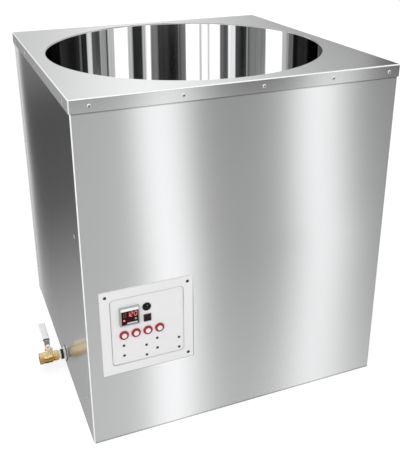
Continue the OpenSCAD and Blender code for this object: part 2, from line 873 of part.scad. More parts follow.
// Ball with its port across the pipe, as it lies when the valve is shut
module valve_ball() color(polished)
    at_ball() difference() {
        sphere(r = ball_r);
        rod_y(port_r, -ball_r - over, ball_r + over);
        translate([0, 0, ball_r])
            cube([tongue_w + 2 * fit_gap, 2 * ball_r, 2 * (tongue_depth + fit_gap)], center = true);
    }

module valve_stem() color(polished)
    at_ball() {
        translate([-tongue_w / 2, -tongue_len / 2, ball_r - tongue_depth])
            cube([tongue_w, tongue_len, tongue_depth + over]);
        rod_z(stem_foot_r, stem_foot_z, stem_foot_z + stem_foot_h);
        rod_z(stem_r, stem_foot_z, lever_root_z);
        rod_z(stem_tip_r, lever_root_z - over, lever_root_z + lever_t + lever_nut_h + stem_tip_over);
    }

// Pressed steel strip: a tab bent down in front of the stem, flat round it, stepped up clear
// of the nut, then straight back
module valve_lever() color(zinc)
    at_ball() difference() {
        lever_top_z = lever_root_z + lever_rise + lever_t;
        intersection() {
            translate([-lever_root_r, 0, 0]) rotate([90, 0, 90]) linear_extrude(2 * lever_root_r) polygon([
                [-stop_reach, lever_root_z - stop_tab_h], [-stop_reach + lever_t, lever_root_z - stop_tab_h],
                [-stop_reach + lever_t, lever_root_z], [joggle_from, lever_root_z],
                [joggle_to, lever_root_z + lever_rise], [lever_len - sleeve_tip, lever_root_z + lever_rise],
                [lever_len - sleeve_tip, lever_top_z], [joggle_to - lever_t / 2, lever_top_z],
                [joggle_from - lever_t / 2, lever_root_z + lever_t], [-stop_reach, lever_root_z + lever_t]
            ]);
            linear_extrude(lever_top_z + over) {
                circle(r = lever_root_r);
                translate([-stop_tab_w / 2, -stop_reach]) square([stop_tab_w, stop_reach]);
                translate([-lever_w / 2, 0]) square([lever_w, lever_len - sleeve_tip - lever_w / 2]);
                translate([0, lever_len - sleeve_tip - lever_w / 2]) circle(r = lever_w / 2);
            }
        }
        rod_z(stem_tip_r + fit_gap, lever_root_z - over, lever_root_z + lever_t + over);
    }

module lever_nut() color(polished)
    at_ball() difference() {
        hex_z(lever_nut_af, lever_root_z + lever_t, lever_root_z + lever_t + lever_nut_h);
        rod_z(stem_tip_r + fit_gap, lever_root_z, lever_root_z + lever_t + lever_nut_h + over);
    }

// Flat tube with round edges that grips the strip from one place along y to another
module strip_grip(wall, from, to, blind)
    translate([0, 0, lever_root_z + lever_rise + lever_t / 2]) difference() {
        h = lever_t + 2 * wall;
        w = lever_w + 2 * wall;
        translate([0, to, 0]) rotate([90, 0, 0]) linear_extrude(to - from) {
            square([w - h, h], center = true);
            for (side = [-1, 1]) translate([side * (w - h) / 2, 0]) circle(r = h / 2);
        }
        block_y(lever_w + 2 * fit_gap, lever_t + 2 * fit_gap, from - over, to - blind);
    }

// Black band at the sleeve's root
module lever_collar() color(black_plastic)
    at_ball() strip_grip(band_wall, joggle_to, joggle_to + collar_len, -over);

module lever_sleeve() color("#e6e8ea")
    at_ball() strip_grip(sleeve_wall, joggle_to + collar_len, lever_len, sleeve_tip - fit_gap);

// Control panel

// Local frame of the panel's sunken field, moved along x and z
module at_panel(dx, dz) translate([panel_x + dx, field_y, panel_z + dz]) children();

// Frame at three corners of the panel for the screws, on the face of the raised frame
module at_panel_screws()
    for (corner = [[-1, 1], [1, 1], [1, -1], [-1, -1]])
        at_panel(corner[0] * (panel_w / 2 - panel_screw_inset), corner[1] * (panel_w / 2 - panel_screw_inset))
            translate([0, -field_depth, 0]) children();

module at_buttons()
    for (i = [0 : zone_count - 1])
        at_panel(button_first_dx + i * button_pitch, button_row_dz) children();

module at_relays()
    for (dx = relay_col_dx, dz = relay_row_dz)
        at_panel(dx, dz) children();

module at_relay_screws()
    at_relays() for (side = [-1, 1])
        translate([side * relay_ear_dx, 0, -side * relay_ear_dz]) children();

// White plate with a raised frame round a sunken field
module control_panel() color(white_plastic)
    difference() {
        at_panel(0, 0) difference() {
            rounded_plate_y(panel_w, panel_w, panel_corner_r, -field_depth, panel_back);
            rounded_plate_y(field_w, field_w, field_r, -field_depth - over, 0);
        }
        at_panel(controller_dx, controller_dz)
            block_y(controller_body_w + 2 * hole_gap, controller_body_w + 2 * hole_gap, -over,
                    panel_back + over);
        at_panel(main_switch_dx, main_switch_dz) rod_y(main_body_r + hole_gap, -over, panel_back + over);
        at_panel(square_dx, square_dz) rod_y(square_barrel_r + hole_gap, -over, panel_back + over);
        at_buttons() rod_y(collar_barrel_r + hole_gap, -over, panel_back + over);
        at_relay_screws() rod_y(relay_screw_r + hole_gap, -over, panel_back + over);
        at_panel_screws() rod_y(screw_shank_r + hole_gap, -over, panel_t + over);
    }

// Soft frame between the panel and the casing
module panel_gasket() color("#3a3a3c")
    difference() {
        translate([panel_x, casing_front_y, panel_z]) difference() {
            rounded_plate_y(panel_w - 2 * over, panel_w - 2 * over, panel_corner_r, -panel_gasket_t, 0);
            rounded_plate_y(cutout_w, cutout_w, cutout_r, -panel_gasket_t - over, over);
        }
        at_panel_screws() rod_y(screw_shank_r + hole_gap, -over, panel_t + panel_gasket_t + over);
    }

// Three dark screws; the fourth hole holds a plug
module panel_screws() color(black_plastic)
    for (corner = [[-1, 1], [1, 1], [1, -1]])
        at_panel(corner[0] * (panel_w / 2 - panel_screw_inset), corner[1] * (panel_w / 2 - panel_screw_inset))
            translate([0, -field_depth, 0]) rotate([90, 0, 0])
                pan_screw(screw_head_r, screw_head_h, screw_shank_r, screw_len);

module hole_plug() color(white_plastic)
    at_panel(-panel_w / 2 + panel_screw_inset, -panel_w / 2 + panel_screw_inset)
        translate([0, -field_depth, 0]) {
            rod_y(plug_r, -plug_h, 0);
            rod_y(screw_shank_r, -plug_h / 2, panel_t + panel_gasket_t + casing_t);
        }

// Housing of the temperature controller, with vent slots along the top of its body
module controller_housing() color("#b9bcbe")
    at_panel(controller_dx, controller_dz) difference() {
        union() {
            rounded_plate_y(controller_w, controller_w, controller_corner_r, -controller_front, 0);
            block_y(controller_body_w, controller_body_w, -over, controller_body_len);
        }
        translate([window_dx, 0, window_dz])
            block_y(window_w + 2 * hole_gap, window_h + 2 * hole_gap, -controller_front - over,
                    window_y + window_t);
        for (i = [1 : controller_slot_count])
            translate([-controller_body_w / 2 + i * controller_body_w / (controller_slot_count + 1), 0,
                       controller_body_w / 2])
                block_y(controller_slot_w, 2 * controller_slot_depth, controller_body_len / 2,
                        controller_body_len - 2 * controller_front);
    }

module controller_window() color("#2a0507")
    at_panel(controller_dx + window_dx, controller_dz + window_dz)
        block_y(window_w, window_h, window_y, window_y + window_t);

// Strip of membrane keys under the digits
module controller_keys() color("#c9cccd")
    at_panel(controller_dx + window_dx + key_strip_dx, controller_dz + window_dz - window_h / 2 + key_strip_h)
        difference() {
            block_y(key_strip_w, key_strip_h, window_y - key_strip_t, window_y);
            for (i = [1 : key_count - 1])
                translate([-key_strip_w / 2 + i * key_strip_w / key_count, 0, 0])
                    block_y(key_groove, key_strip_h + over, window_y - key_strip_t - over,
                            window_y - key_strip_t / 2);
        }

// Clamp pushed along the controller's body, which draws its bezel to the panel
module controller_clamp() color(black_plastic)
    at_panel(controller_dx, controller_dz) difference() {
        union() {
            rounded_plate_y(controller_body_w + 2 * clamp_wall, controller_body_w + 2 * clamp_wall,
                            clamp_wall, panel_back, panel_back + clamp_len);
            rounded_plate_y(controller_body_w + 2 * (clamp_wall + clamp_rib_h),
                            controller_body_w + 2 * (clamp_wall + clamp_rib_h), clamp_wall,
                            panel_back + clamp_len - clamp_rib_len, panel_back + clamp_len);
        }
        block_y(controller_body_w + 2 * fit_gap, controller_body_w + 2 * fit_gap, 0,
                panel_back + clamp_len + over);
    }

// Terminal blades on the back of a switch
module blades(from)
    for (side = [-1, 1])
        translate([0, 0, side * blade_spread]) block_y(blade_w, blade_t, from, from + blade_len);

module main_switch_body() color(black_plastic)
    at_panel(main_switch_dx, main_switch_dz) {
        difference() {
            union() {
                rod_y(main_bezel_r, -main_bezel_t, 0);
                rod_y(main_body_r, -over, main_body_len);
            }
            rod_y(main_cavity_r, -main_bezel_t - over, main_cavity_depth);
        }
        blades(main_body_len);
    }

// Rocker tipped to its on side; its two pins turn in the switch's body
module main_switch_rocker() color("#141416")
    at_panel(main_switch_dx, main_switch_dz) translate([0, rocker_pivot, 0]) rotate([rocker_tilt, 0, 0]) {
        intersection() {
            rod_y(rocker_r, -2 * rocker_pivot - rocker_edge, rocker_back);
            translate([-rocker_r, 0, 0]) rotate([90, 0, 90]) linear_extrude(2 * rocker_r) polygon([
                [-rocker_pivot - rocker_edge, -rocker_r], [-rocker_pivot - rocker_valley, 0],
                [-rocker_pivot - rocker_edge, rocker_r], [0, rocker_r],
                [rocker_back - rocker_pivot, rocker_back_r], [rocker_back - rocker_pivot, -rocker_back_r],
                [0, -rocker_r]
            ]);
        }
        rod_x(rocker_pin_r, -main_cavity_r + hole_gap, main_cavity_r - hole_gap);
    }

module square_button_body() color(black_plastic)
    at_panel(square_dx, square_dz) {
        difference() {
            union() {
                block_y(square_bezel_w, square_bezel_w, -square_bezel_t, 0);
                rod_y(square_barrel_r, -over, square_barrel_len);
            }
            block_y(square_window_w, square_window_w, -square_bezel_t - over,
                    square_cap_back + square_travel + fit_gap);
            rod_y(square_bore_r, -square_bezel_t, square_bore_depth);
        }
        blades(square_barrel_len);
    }

module square_button_cap() color("#3a0a0c")
    at_panel(square_dx, square_dz) {
        block_y(square_cap_w, square_cap_w, square_cap_back - square_cap_t, square_cap_back);
        rod_y(square_stem_r, -square_bezel_t, square_stem_len - square_bezel_t);
    }

// Red collars: a rounded ring on the field with its barrel through the panel
module button_collars() color(red_plastic)
    at_buttons() difference() {
        union() {
            rod_y(collar_d / 2, -collar_h + collar_edge_r, 0);
            rod_y(collar_d / 2 - collar_edge_r, -collar_h, 0);
            translate([0, -collar_h + collar_edge_r, 0]) rotate([90, 0, 0])
                rotate_extrude() translate([collar_d / 2 - collar_edge_r, 0]) circle(r = collar_edge_r);
            rod_y(collar_barrel_r, -over, collar_barrel_len);
        }
        rod_y(cap_r + 2 * fit_gap, -collar_h - over, 0);
        rod_y(collar_bore_r, -collar_h + collar_lip_h, collar_barrel_len + over);
    }

// White cap with the flange that keeps it in the collar and the plunger behind it
module button_cap(i) color(white_plastic)
    at_panel(button_first_dx + i * button_pitch, button_row_dz) {
        rod_y(cap_r, -collar_h - cap_proud, 0);
        rod_y(cap_flange_r, cap_flange_y, cap_flange_y + cap_flange_t);
        rod_y(plunger_r, -over, plunger_len - over);
    }

// Nuts on the barrels of the four round buttons and of the square one
module button_nuts() color(zinc) {
    at_buttons() difference() {
        hex_y(button_nut_af, panel_back, panel_back + button_nut_h);
        rod_y(collar_barrel_r + fit_gap, 0, panel_back + button_nut_h + over);
    }
    at_panel(square_dx, square_dz) difference() {
        hex_y(square_nut_af, panel_back, panel_back + button_nut_h);
        rod_y(square_barrel_r + fit_gap, 0, panel_back + button_nut_h + over);
    }
}

// Contact blocks plugged into the back of the barrels
module button_switches() color(black_plastic)
    at_buttons() {
        difference() {
            union() {
                rod_y(collar_bore_r - hole_gap, collar_barrel_len - switch_plug_len,
                      collar_barrel_len + over);
                block_y(switch_w, switch_w, collar_barrel_len, collar_barrel_len + switch_len);
            }
            rod_y(plunger_r + seat_gap, 0, collar_barrel_len + button_travel);
        }
        blades(collar_barrel_len + switch_len);
    }

module relays() color("#2c2f33")
    at_relays() difference() {
        union() {
            block_y(relay_body_w, relay_body_h, panel_back, panel_back + relay_body_t);
            for (side = [-1, 1])
                translate([side * relay_ear_dx, 0, -side * relay_ear_dz]) {
                    rod_y(relay_ear_r, panel_back, panel_back + relay_ear_t);
                    translate([-side * relay_ear_dx / 4, 0, 0])
                        block_y(relay_ear_dx / 2, 2 * relay_ear_r, panel_back, panel_back + relay_ear_t);
                }
        }
        for (side = [-1, 1])
            translate([side * relay_ear_dx, 0, -side * relay_ear_dz])
                rod_y(relay_screw_r + fit_gap, 0, panel_back + relay_body_t + over);
    }

module relay_screws() color(black_plastic)
    at_relay_screws() rotate([90, 0, 0])
        pan_screw(relay_head_r, relay_head_h, relay_screw_r, relay_screw_len);

// Row of terminals screwed to the tray in the corner behind the panel
module terminal_block() color("#e0ddd2")
    translate([-inner_w / 2 + block_dx, -inner_d / 2 + block_dy, base_t]) difference() {
        union() {
            translate([-block_w / 2, -block_d / 2, 0]) cube([block_w, block_d, block_h]);
            translate([-block_w / 2 - block_foot_h, -block_d / 2, 0])
                cube([block_w + 2 * block_foot_h, block_d, block_foot_h]);
        }
        for (i = [0 : block_ways - 1])
            translate([-block_w / 2 + (i + 0.5) * block_w / block_ways, 0, block_h - block_well_depth])
                rod_z(block_w / block_ways / 2 - block_wall / 2, 0, block_well_depth + over);
    }

// Local frame of the gland: y points out of the rear cover, from its outer face
module at_gland() translate([-cover_w / 2 + gland_from_left, casing_d / 2 + rear_t, gland_z]) children();

// Gland body and, as a solid of its own, the nut that holds it behind the rear cover
module cable_gland() color(black_plastic)
    at_gland() {
        difference() {
            union() {
                rod_y(gland_thread_r, -gland_inside, gland_outside);
                hex_y(gland_hex_af, 0, gland_hex_h);
            }
            rod_y(gland_bore_r, -gland_inside - over, gland_outside + over);
        }
        difference() {
            hex_y(gland_hex_af, -rear_t - gland_nut_h, -rear_t);
            rod_y(gland_thread_r + fit_gap, -gland_inside, 0);
        }
    }

// Dome nut that tightens the gland on its cable
module gland_dome_nut() color(black_plastic)
    at_gland() difference() {
        union() {
            hex_y(gland_hex_af, gland_hex_h, gland_hex_h + dome_grip_len);
            translate([0, gland_hex_h + dome_grip_len, 0]) rotate([-90, 0, 0])
                cylinder(r1 = gland_hex_af / 2, r2 = dome_tip_r, h = dome_nut_len - dome_grip_len);
        }
        rod_y(gland_thread_r + fit_gap, 0, gland_outside);
        rod_y(gland_bore_r, 0, gland_hex_h + dome_nut_len + over);
    }

casing_wrap();
rear_cover();
rear_cover_screws();
top_cover();
cover_rivets();
base_tray();
base_rails();
corner_posts();
post_rivets();
tank();
tank_seal();
heater_band(0);  // heater_band_1
heater_band(1);  // heater_band_2
heater_band(2);  // heater_band_3
heater_band(3);  // heater_band_4
heater_clamp_bolts();
insulation_blanket();
insulation_jacket();
floor_insulation();
temperature_probe();
overheat_thermostat();
outlet_pipe();
outlet_gasket();
outlet_flange();
outlet_locknut();
valve_body();
valve_end_adapter();
valve_seats();
stem_packing();
packing_nut();
valve_ball();
valve_stem();
valve_lever();
lever_nut();
lever_collar();
lever_sleeve();
control_panel();
panel_gasket();
panel_screws();
hole_plug();
controller_housing();
controller_window();
controller_keys();
controller_clamp();
main_switch_body();
main_switch_rocker();
square_button_body();
square_button_cap();
button_collars();
button_cap(0);  // button_cap_1
button_cap(1);  // button_cap_2
button_cap(2);  // button_cap_3
button_cap(3);  // button_cap_4
button_nuts();
button_switches();
relays();
relay_screws();
terminal_block();
cable_gland();
gland_dome_nut();
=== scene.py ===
import json
import math

import bpy
from mathutils import Matrix, Vector


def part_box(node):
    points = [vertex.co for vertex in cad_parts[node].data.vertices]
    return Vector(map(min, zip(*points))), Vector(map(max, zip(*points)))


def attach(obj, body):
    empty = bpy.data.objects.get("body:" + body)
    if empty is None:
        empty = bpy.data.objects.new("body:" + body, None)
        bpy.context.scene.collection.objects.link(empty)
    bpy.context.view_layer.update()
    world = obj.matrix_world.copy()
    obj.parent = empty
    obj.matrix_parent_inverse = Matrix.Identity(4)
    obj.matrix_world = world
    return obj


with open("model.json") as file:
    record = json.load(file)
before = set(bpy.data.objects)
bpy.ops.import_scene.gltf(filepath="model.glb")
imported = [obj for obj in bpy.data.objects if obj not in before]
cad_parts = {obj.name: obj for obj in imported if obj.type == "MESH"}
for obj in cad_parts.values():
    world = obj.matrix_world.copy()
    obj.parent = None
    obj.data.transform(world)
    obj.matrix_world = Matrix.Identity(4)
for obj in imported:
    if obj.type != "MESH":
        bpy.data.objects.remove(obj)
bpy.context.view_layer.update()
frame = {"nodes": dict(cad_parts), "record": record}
nodes = frame["nodes"]
scene = bpy.context.scene


# Casing: one sheet of 1.5 mm stainless steel, folded round the front and both sides of the cabinet and
# riveted to the corner posts. It is brushed level round the faces, so what it mirrors is drawn out upward
# and downward.
class Wire:
    """What a shader node gives out. Sums on it add the nodes that work them out."""

    def __init__(self, finish, socket):
        self.finish, self.socket = finish, socket

    def sum(self, operation, *terms):
        vector = any(isinstance(t, tuple) or (isinstance(t, Wire) and t.socket.type == "VECTOR") for t in terms)
        kind = "ShaderNodeVectorMath" if vector else "ShaderNodeMath"
        return self.finish.add(kind, {"operation": operation}, dict(enumerate(terms)))

    def __add__(self, other):
        return self.sum("ADD", self, other)

    __radd__ = __add__

    def __sub__(self, other):
        return self.sum("SUBTRACT", self, other)

    def __rsub__(self, other):
        return self.sum("SUBTRACT", other, self)

    def __mul__(self, other):
        return self.sum("MULTIPLY", self, other)

    __rmul__ = __mul__

    def __truediv__(self, other):
        return self.sum("DIVIDE", self, other)

    def __rtruediv__(self, other):
        return self.sum("DIVIDE", other, self)

    def __pow__(self, other):
        return self.sum("POWER", self, other)

    def __rpow__(self, other):
        return self.sum("POWER", other, self)

    def __neg__(self):
        return self.sum("MULTIPLY", self, -1.0)

    def __abs__(self):
        return self.sum("ABSOLUTE", self)

    def at_least(self, other):
        return self.sum("MAXIMUM", self, other)

    def at_most(self, other):
        return self.sum("MINIMUM", self, other)

    def between(self, start, end):
        """0 before start, 1 after end, and smooth between them; start may be the larger."""
        settings = {"interpolation_type": "SMOOTHSTEP"}
        return self.finish.add("ShaderNodeMapRange", settings, {"Value": self, "From Min": start, "From Max": end})

    def split(self):
        """The three parts of a vector."""
        node = self.finish.add("ShaderNodeSeparateXYZ", {}, {"Vector": self}).socket.node
        return [Wire(self.finish, socket) for socket in node.outputs]


class Finish:
    """The node tree of a material or of the studio round the object."""

    def __init__(self, owner):
        if isinstance(owner, str):
            owner = bpy.data.materials.new(owner)
        owner.use_nodes = True
        self.owner, self.tree = owner, owner.node_tree
        self.tree.nodes.clear()

    def add(self, kind, settings=(), inputs=(), out=0):
        """Adds one node: its settings first, then the values or wires of its sockets."""
        node = self.tree.nodes.new(kind)
        for name, value in dict(settings).items():
            setattr(node, name, value)
        for name, value in dict(inputs).items():
            socket = node.inputs[name] if isinstance(name, int) else next(
                s for s in node.inputs if s.name == name and s.enabled)
            if isinstance(value, Wire):
                self.tree.links.new(value.socket, socket)
            elif socket.type == "RGBA":
                socket.default_value = (*value, 1.0)
            else:
                socket.default_value = value
        return Wire(self, node.outputs[out]) if node.outputs else None

    def place(self):
        """Where a point lies on its piece, in metres of the shared frame."""
        return self.add("ShaderNodeTexCoord", out="Object")

    def noise(self, vector, scale=1.0, detail=3.0, rough=0.5):
        inputs = {"Vector": vector, "Scale": scale, "Detail": detail, "Roughness": rough}
        return self.add("ShaderNodeTexNoise", {}, inputs)

    def blend(self, amount, first, second):
        """From the first colour to the second as amount goes from 0 to 1."""
        settings = {"data_type": "RGBA", "clamp_factor": True}
        node = self.add("ShaderNodeMix", settings, {"Factor": amount, "A": first, "B": second}).socket.node
        return Wire(self, next(s for s in node.outputs if s.enabled))

    def bump(self, height, distance=1.0):
        """A relief of that height times that distance, in metres."""
        return self.add("ShaderNodeBump", {}, {"Height": height, "Distance": distance, "Strength": 1.0})

    def surface(self, **inputs):
        """Closes the material with its shader."""
        shader = self.add("ShaderNodeBsdfPrincipled", {}, {k.replace("_", " "): v for k, v in inputs.items()})
        self.add("ShaderNodeOutputMaterial", {}, {"Surface": shader})
        return self.owner


def wear(material, *names):
    """Gives solids of the frame their finish."""
    for name in names:
        slots = nodes[name].data.materials
        slots.clear()
        slots.append(material)


def past_square(x, z, centre_x, centre_z, half, corner):
    """How far a point lies outside an upright square with rounded corners, in metres."""
    beside, above = (abs(x - centre_x) - half).at_least(0.0), (abs(z - centre_z) - half).at_least(0.0)
    return (beside * beside + above * above) ** 0.5 - corner


casing_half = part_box("casing_wrap")[1].x
cover_low, cover_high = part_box("top_cover")
panel_low, panel_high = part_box("control_panel")
panel_x, _, panel_z = (panel_low + panel_high) / 2
panel_half = (panel_high.x - panel_low.x) / 2

# The sides spring out of flat over the run up to their free rear edge, more so higher up, and the whole
# casing a little over its upper part.
spring_start, spring_at_foot, spring_growth = -0.05, 0.72, 0.35
spring_run = cover_high.y - spring_start
upper_start, upper_spring = 0.45, 0.07


def sprung(relief, along, height, bow):
    """The sheet's relief with the casing's spring added."""
    rear, upper = ((along - spring_start) / spring_run).at_least(0.0), (height - upper_start).at_least(0.0)
    return relief + rear ** 3.0 * (height * spring_growth + spring_at_foot) * bow + upper * upper * upper_spring


# Painted shade darkens the casing in the corner under the cover's skirt, along the floor, and below and to the right
# of the control panel's rim, where the light doesn't reach. That last shade lies on the front face only.
skirt_corner = (cover_low.z - 0.0055, cover_low.z - 0.0015)
floor_line, rim_line = (0.0050, 0.0022), (0.0028, 0.0006)
shade_x, shade_z, shade_corner = panel_x + 0.002, panel_z - 0.0038, 0.002
shade_half = panel_half - shade_corner
shade_side = (panel_x - panel_z - 0.0415, panel_x - panel_z + 0.0985)
front_face = (0.0017 - casing_half, 0.0007 - casing_half)
skirt_shade, floor_shade, rim_shade, shade_grey = 0.62, 0.5, 0.8, (0.10, 0.10, 0.10)


def painted_shade(across, along, height):
    """How much painted shade darkens the casing, from 0 to 1."""
    corner_shade = height.between(*skirt_corner) * skirt_shade + height.between(*floor_line) * floor_shade
    rim = past_square(across, height, shade_x, shade_z, shade_half, shade_corner).between(*rim_line)
    return corner_shade + rim * (across - height).between(*shade_side) * along.between(*front_face) * rim_shade


# The painted highlight on the folds: its pale colour and the roughness it adds. The top and its side skirts are only
# duller.
highlight_white, highlight_dulling, top_dulling, skirt_dulling = (0.95, 0.95, 0.95), 0.3, 0.06, 0.14


def near(distance, edge, start, full):
    """0 until start short of an edge, in metres, and 1 from full short of it and beyond."""
    return distance.between(edge - start, edge - full)


def rolled_steel(name, colour, roughness, grain, sheet_wave, smear, stretch=(2.0, 2.0, 300.0), half=0.0, top=0.0,
                 bow=0.0):
    """Stainless sheet: fine drawn grain, the rolled sheet's slight waves and a few soft patches of wear. A sheet
    folded to that half width has a painted highlight on its folds, pale and not metal. With a flat top at that
    height the painted highlight runs round the top's edge too, and the top and its side skirts are duller. With a
    bow it is the casing's, sprung, with painted shade under the skirt, along the floor and beside the control
    panel's rim."""
    sheet = Finish(name)
    place = sheet.place()
    drawn = sheet.noise(place * stretch, 3.0, 6.0, 0.6)
    patches = sheet.noise(place, 5.0, 2.0)
    shade = sheet.blend(drawn * 0.5 + patches * 0.5, [c * 0.975 for c in colour], [c * 1.025 for c in colour])
    relief = sheet.noise(place, 1.7, 1.0, 0.4) * sheet_wave
    finish, metal = drawn * grain + (roughness - grain / 2), 1.0
    across, along, height = place.split()
    if bow:
        relief = sprung(relief, along, height, bow)
        shade = sheet.blend(painted_shade(across, along, height), shade, shade_grey)
    if half:
        wide, deep = abs(across), abs(along)
        # Painted highlight: the folds, and the top's edge, turn pale and lose their metal.
        fold_highlight = near(wide.at_most(deep), half, 0.0029, 0.0021)
        if top:
            on_top, side_skirts = near(height, top, 0.0026, 0.0018), near(wide, half, 0.0010, 0.0004)
            fold_highlight = (fold_highlight * 0.7).at_least(near(wide.at_least(deep), half, 0.0024, 0.0016) * on_top)
            finish = finish + on_top * top_dulling + side_skirts * skirt_dulling
        shade = sheet.blend(fold_highlight, shade, highlight_white)
        finish, metal = finish + fold_highlight * highlight_dulling, 1.0 - fold_highlight
    return sheet.surface(Base_Color=shade, Metallic=metal, Roughness=finish, Anisotropic=smear,
                         Anisotropic_Rotation=0.25, Normal=sheet.bump(relief))


# The casing carries painted shade under the skirt, along the floor and beside the panel's rim, and a painted
# highlight on its folds.
casing_steel = rolled_steel("brushed_steel", (0.70, 0.705, 0.71), roughness=0.165, grain=0.012, sheet_wave=0.0006,
                            smear=0.9, half=casing_half, bow=0.0225)
wear(casing_steel, "casing_wrap")


# Rear cover: a flat stainless tray of the same brushed sheet that closes the back. Its edges lap the sides
# and six pan-head screws hold it, so that the heaters and the wiring can be reached.
def grained(name, scale, detail, dark, light, roughness, stretch=None, relief=0.0, **sockets):
    """A finish with one fine grain, which goes from the dark colour to the light one and through a range
    of roughness, if two values are given. A stretch draws the grain out, and a relief gives it a height."""
    finish = Finish(name)
    place = finish.place()
    grain = finish.noise(place * stretch if stretch else place, scale, detail)
    if isinstance(roughness, tuple):
        smooth, dull = roughness
        roughness = grain * (dull - smooth) + smooth
    if relief:
        sockets["Normal"] = finish.bump(grain, relief)
    return finish.surface(Base_Color=finish.blend(grain, dark, light), Roughness=roughness, **sockets)


wear(casing_steel, "rear_cover")
fastener_steel = grained("fastener_steel", 900.0, 2.0, dark=(0.42, 0.42, 0.43), light=(0.70, 0.71, 0.72),
                         roughness=(0.2, 0.4), Metallic=1.0)
wear(fastener_steel, "rear_cover_screws")


# Top cover: the square lid of 1.5 mm stainless with its round opening and folded skirt, held by blind
# rivets. It is finer ground than the casing, and lies flat, so it mirrors the studio softly.
# The cover's folds and the top's edge carry a painted highlight.
cover_steel = rolled_steel("cover_steel", (0.72, 0.725, 0.73), roughness=0.15, grain=0.03, sheet_wave=0.0010,
                           smear=0.0, stretch=(2.0, 260.0, 260.0), half=cover_high.x, top=cover_high.z)
wear(cover_steel, "top_cover")
rivet_alloy = grained("rivet_alloy", 800.0, 3.0, dark=(0.80, 0.80, 0.81), light=(0.94, 0.94, 0.94),
                      roughness=(0.3, 0.45), Metallic=0.85)
wear(rivet_alloy, "cover_rivets", "post_rivets")


def new_piece(name, points, faces, smooth=False):
    """A mesh of the scene's own, from points in metres of the shared frame."""
    mesh = bpy.data.meshes.new(name)
    mesh.from_pydata(points, [], faces)
    if smooth:
        mesh.polygons.foreach_set("use_smooth", [True] * len(faces))
    mesh.update()
    piece = bpy.data.objects.new(name, mesh)
    scene.collection.objects.link(piece)
    return piece


def pins(name, spots, radius, length, sides=16):
    """Short round pins, each from a centre along an outward direction, in one mesh."""
    points, faces = [], []
    for centre, outward in spots:
        outward = Vector(outward)
        side = Vector((-outward.y, outward.x, 0.0))
        first = len(points)
        for step in (0.0, length):
            for i in range(sides):
                a = 2 * math.pi * i / sides
                points.append(Vector(centre) + outward * step + side * radius * math.cos(a)
                              + Vector((0, 0, 1)) * radius * math.sin(a))
        for i in range(sides):
            j = (i + 1) % sides
            faces.append((first + i, first + j, first + sides + j, first + sides + i))
        faces.append(tuple(range(first + sides, first + 2 * sides)))
    return new_piece(name, points, faces)


# The broken-off steel mandrel stands in the middle of each head; its near-black colour is painted shade of the hole
# it sits in. The rivets stand at shares of the cover's width along its skirt, and at two shares of the height on
# each corner post.
rivets_low, rivets_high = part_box("cover_rivets")
rivet_height, rivet_head = (rivets_low.z + rivets_high.z) / 2, 0.0017
front_shares, side_shares = (-0.446, -0.191, 0.047, 0.269, 0.461), (-0.4225, -0.2022, 0.0178, 0.2053, 0.4327)
post_inset, post_shares = 0.052, (0.12, 0.624)
mandrel_root, mandrel_radius, mandrel_length = 0.0009, 0.0019, 0.0012
cover_width, post_place = cover_high.x - cover_low.x, casing_half - post_inset
skirt_out, post_out = (half + rivet_head - mandrel_root for half in (cover_high.x, casing_half))
spots = []
for way in (-1, 1):
    spots += [((share * cover_width, way * skirt_out, rivet_height), (0, way, 0)) for share in front_shares]
    spots += [((way * skirt_out, share * cover_width, rivet_height), (way, 0, 0)) for share in side_shares]
spots += [((way * post_out, end * post_place, share * cover_high.z), (way, 0, 0))
          for way in (-1, 1) for end in (-1, 1) for share in post_shares]
mandrels = pins("rivet_mandrels", spots, mandrel_radius, mandrel_length)
# The mandrels' near-black colour is painted shade of the holes they sit in.
mandrels.data.materials.append(grained(
    "mandrel_painted_shade", 900.0, 2.0, dark=(0.008, 0.008, 0.009), light=(0.03, 0.03, 0.033), roughness=0.5, Metallic=0.4))
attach(mandrels, "cabinet")


# Base, rails and posts: the folded base tray that the cabinet stands on, of plain mill-finish sheet, and
# the three rails that carry the tank and the four corner posts that the casing is riveted to, galvanised.
tray_steel = rolled_steel("tray_steel", (0.55, 0.56, 0.57), roughness=0.42, grain=0.1, sheet_wave=0.001, smear=0.4)
wear(tray_steel, "base_tray")
zinc = Finish("galvanised")
spangle = zinc.add("ShaderNodeTexVoronoi", {}, {"Vector": zinc.place(), "Scale": 60.0}, "Color")
galvanised = zinc.surface(
    Base_Color=zinc.blend(zinc.noise(zinc.place(), 70.0, 3.0), (0.42, 0.44, 0.45), (0.63, 0.65, 0.66)),
    Metallic=0.8, Roughness=0.42, Normal=zinc.bump(spangle, 0.00005))
wear(galvanised, "base_rails", "corner_posts")


# Tank: the round wax tank, stainless rolled to a cylinder, welded and polished inside like a mirror. The
# roll leaves long upright ripples and drawn lines in the wall, and the wall mirrors as though it leaned by
# tank_slope, which brings the studio's rail of flags down over its whole height.
tank_slope, ripple_height, floor_edge, wall_foot = 0.19, 0.0002, 0.335, 0.355
polished = Finish("mirror_steel")
polished_place = polished.place()
ripple = polished.noise(polished_place * (9.0, 9.0, 0.5), 1.0, 2.0)
scuff = polished.noise(polished_place * (60.0, 60.0, 8.0), 1.0, 4.0)
streaks = polished.noise(polished_place * (75.0, 75.0, 0.6), 1.0, 3.0, 0.6)
tank_x, tank_y, tank_z = polished_place.split()
on_wall = ((tank_x * tank_x + tank_y * tank_y) ** 0.5).between(floor_edge, wall_foot)
drawn_wall = (streaks.between(0.30, 0.72) - 0.5) * on_wall
mirror_steel = polished.surface(
    Base_Color=polished.blend(scuff * 0.3 + drawn_wall * 0.7 + 0.35, (0.66, 0.67, 0.68), (0.94, 0.945, 0.95)),
    Metallic=1.0, Roughness=scuff * 0.02 + 0.042, Anisotropic=1.0, Anisotropic_Rotation=0.25,
    Normal=polished.bump(ripple * ripple_height - tank_z * tank_slope))
wear(mirror_steel, "tank")


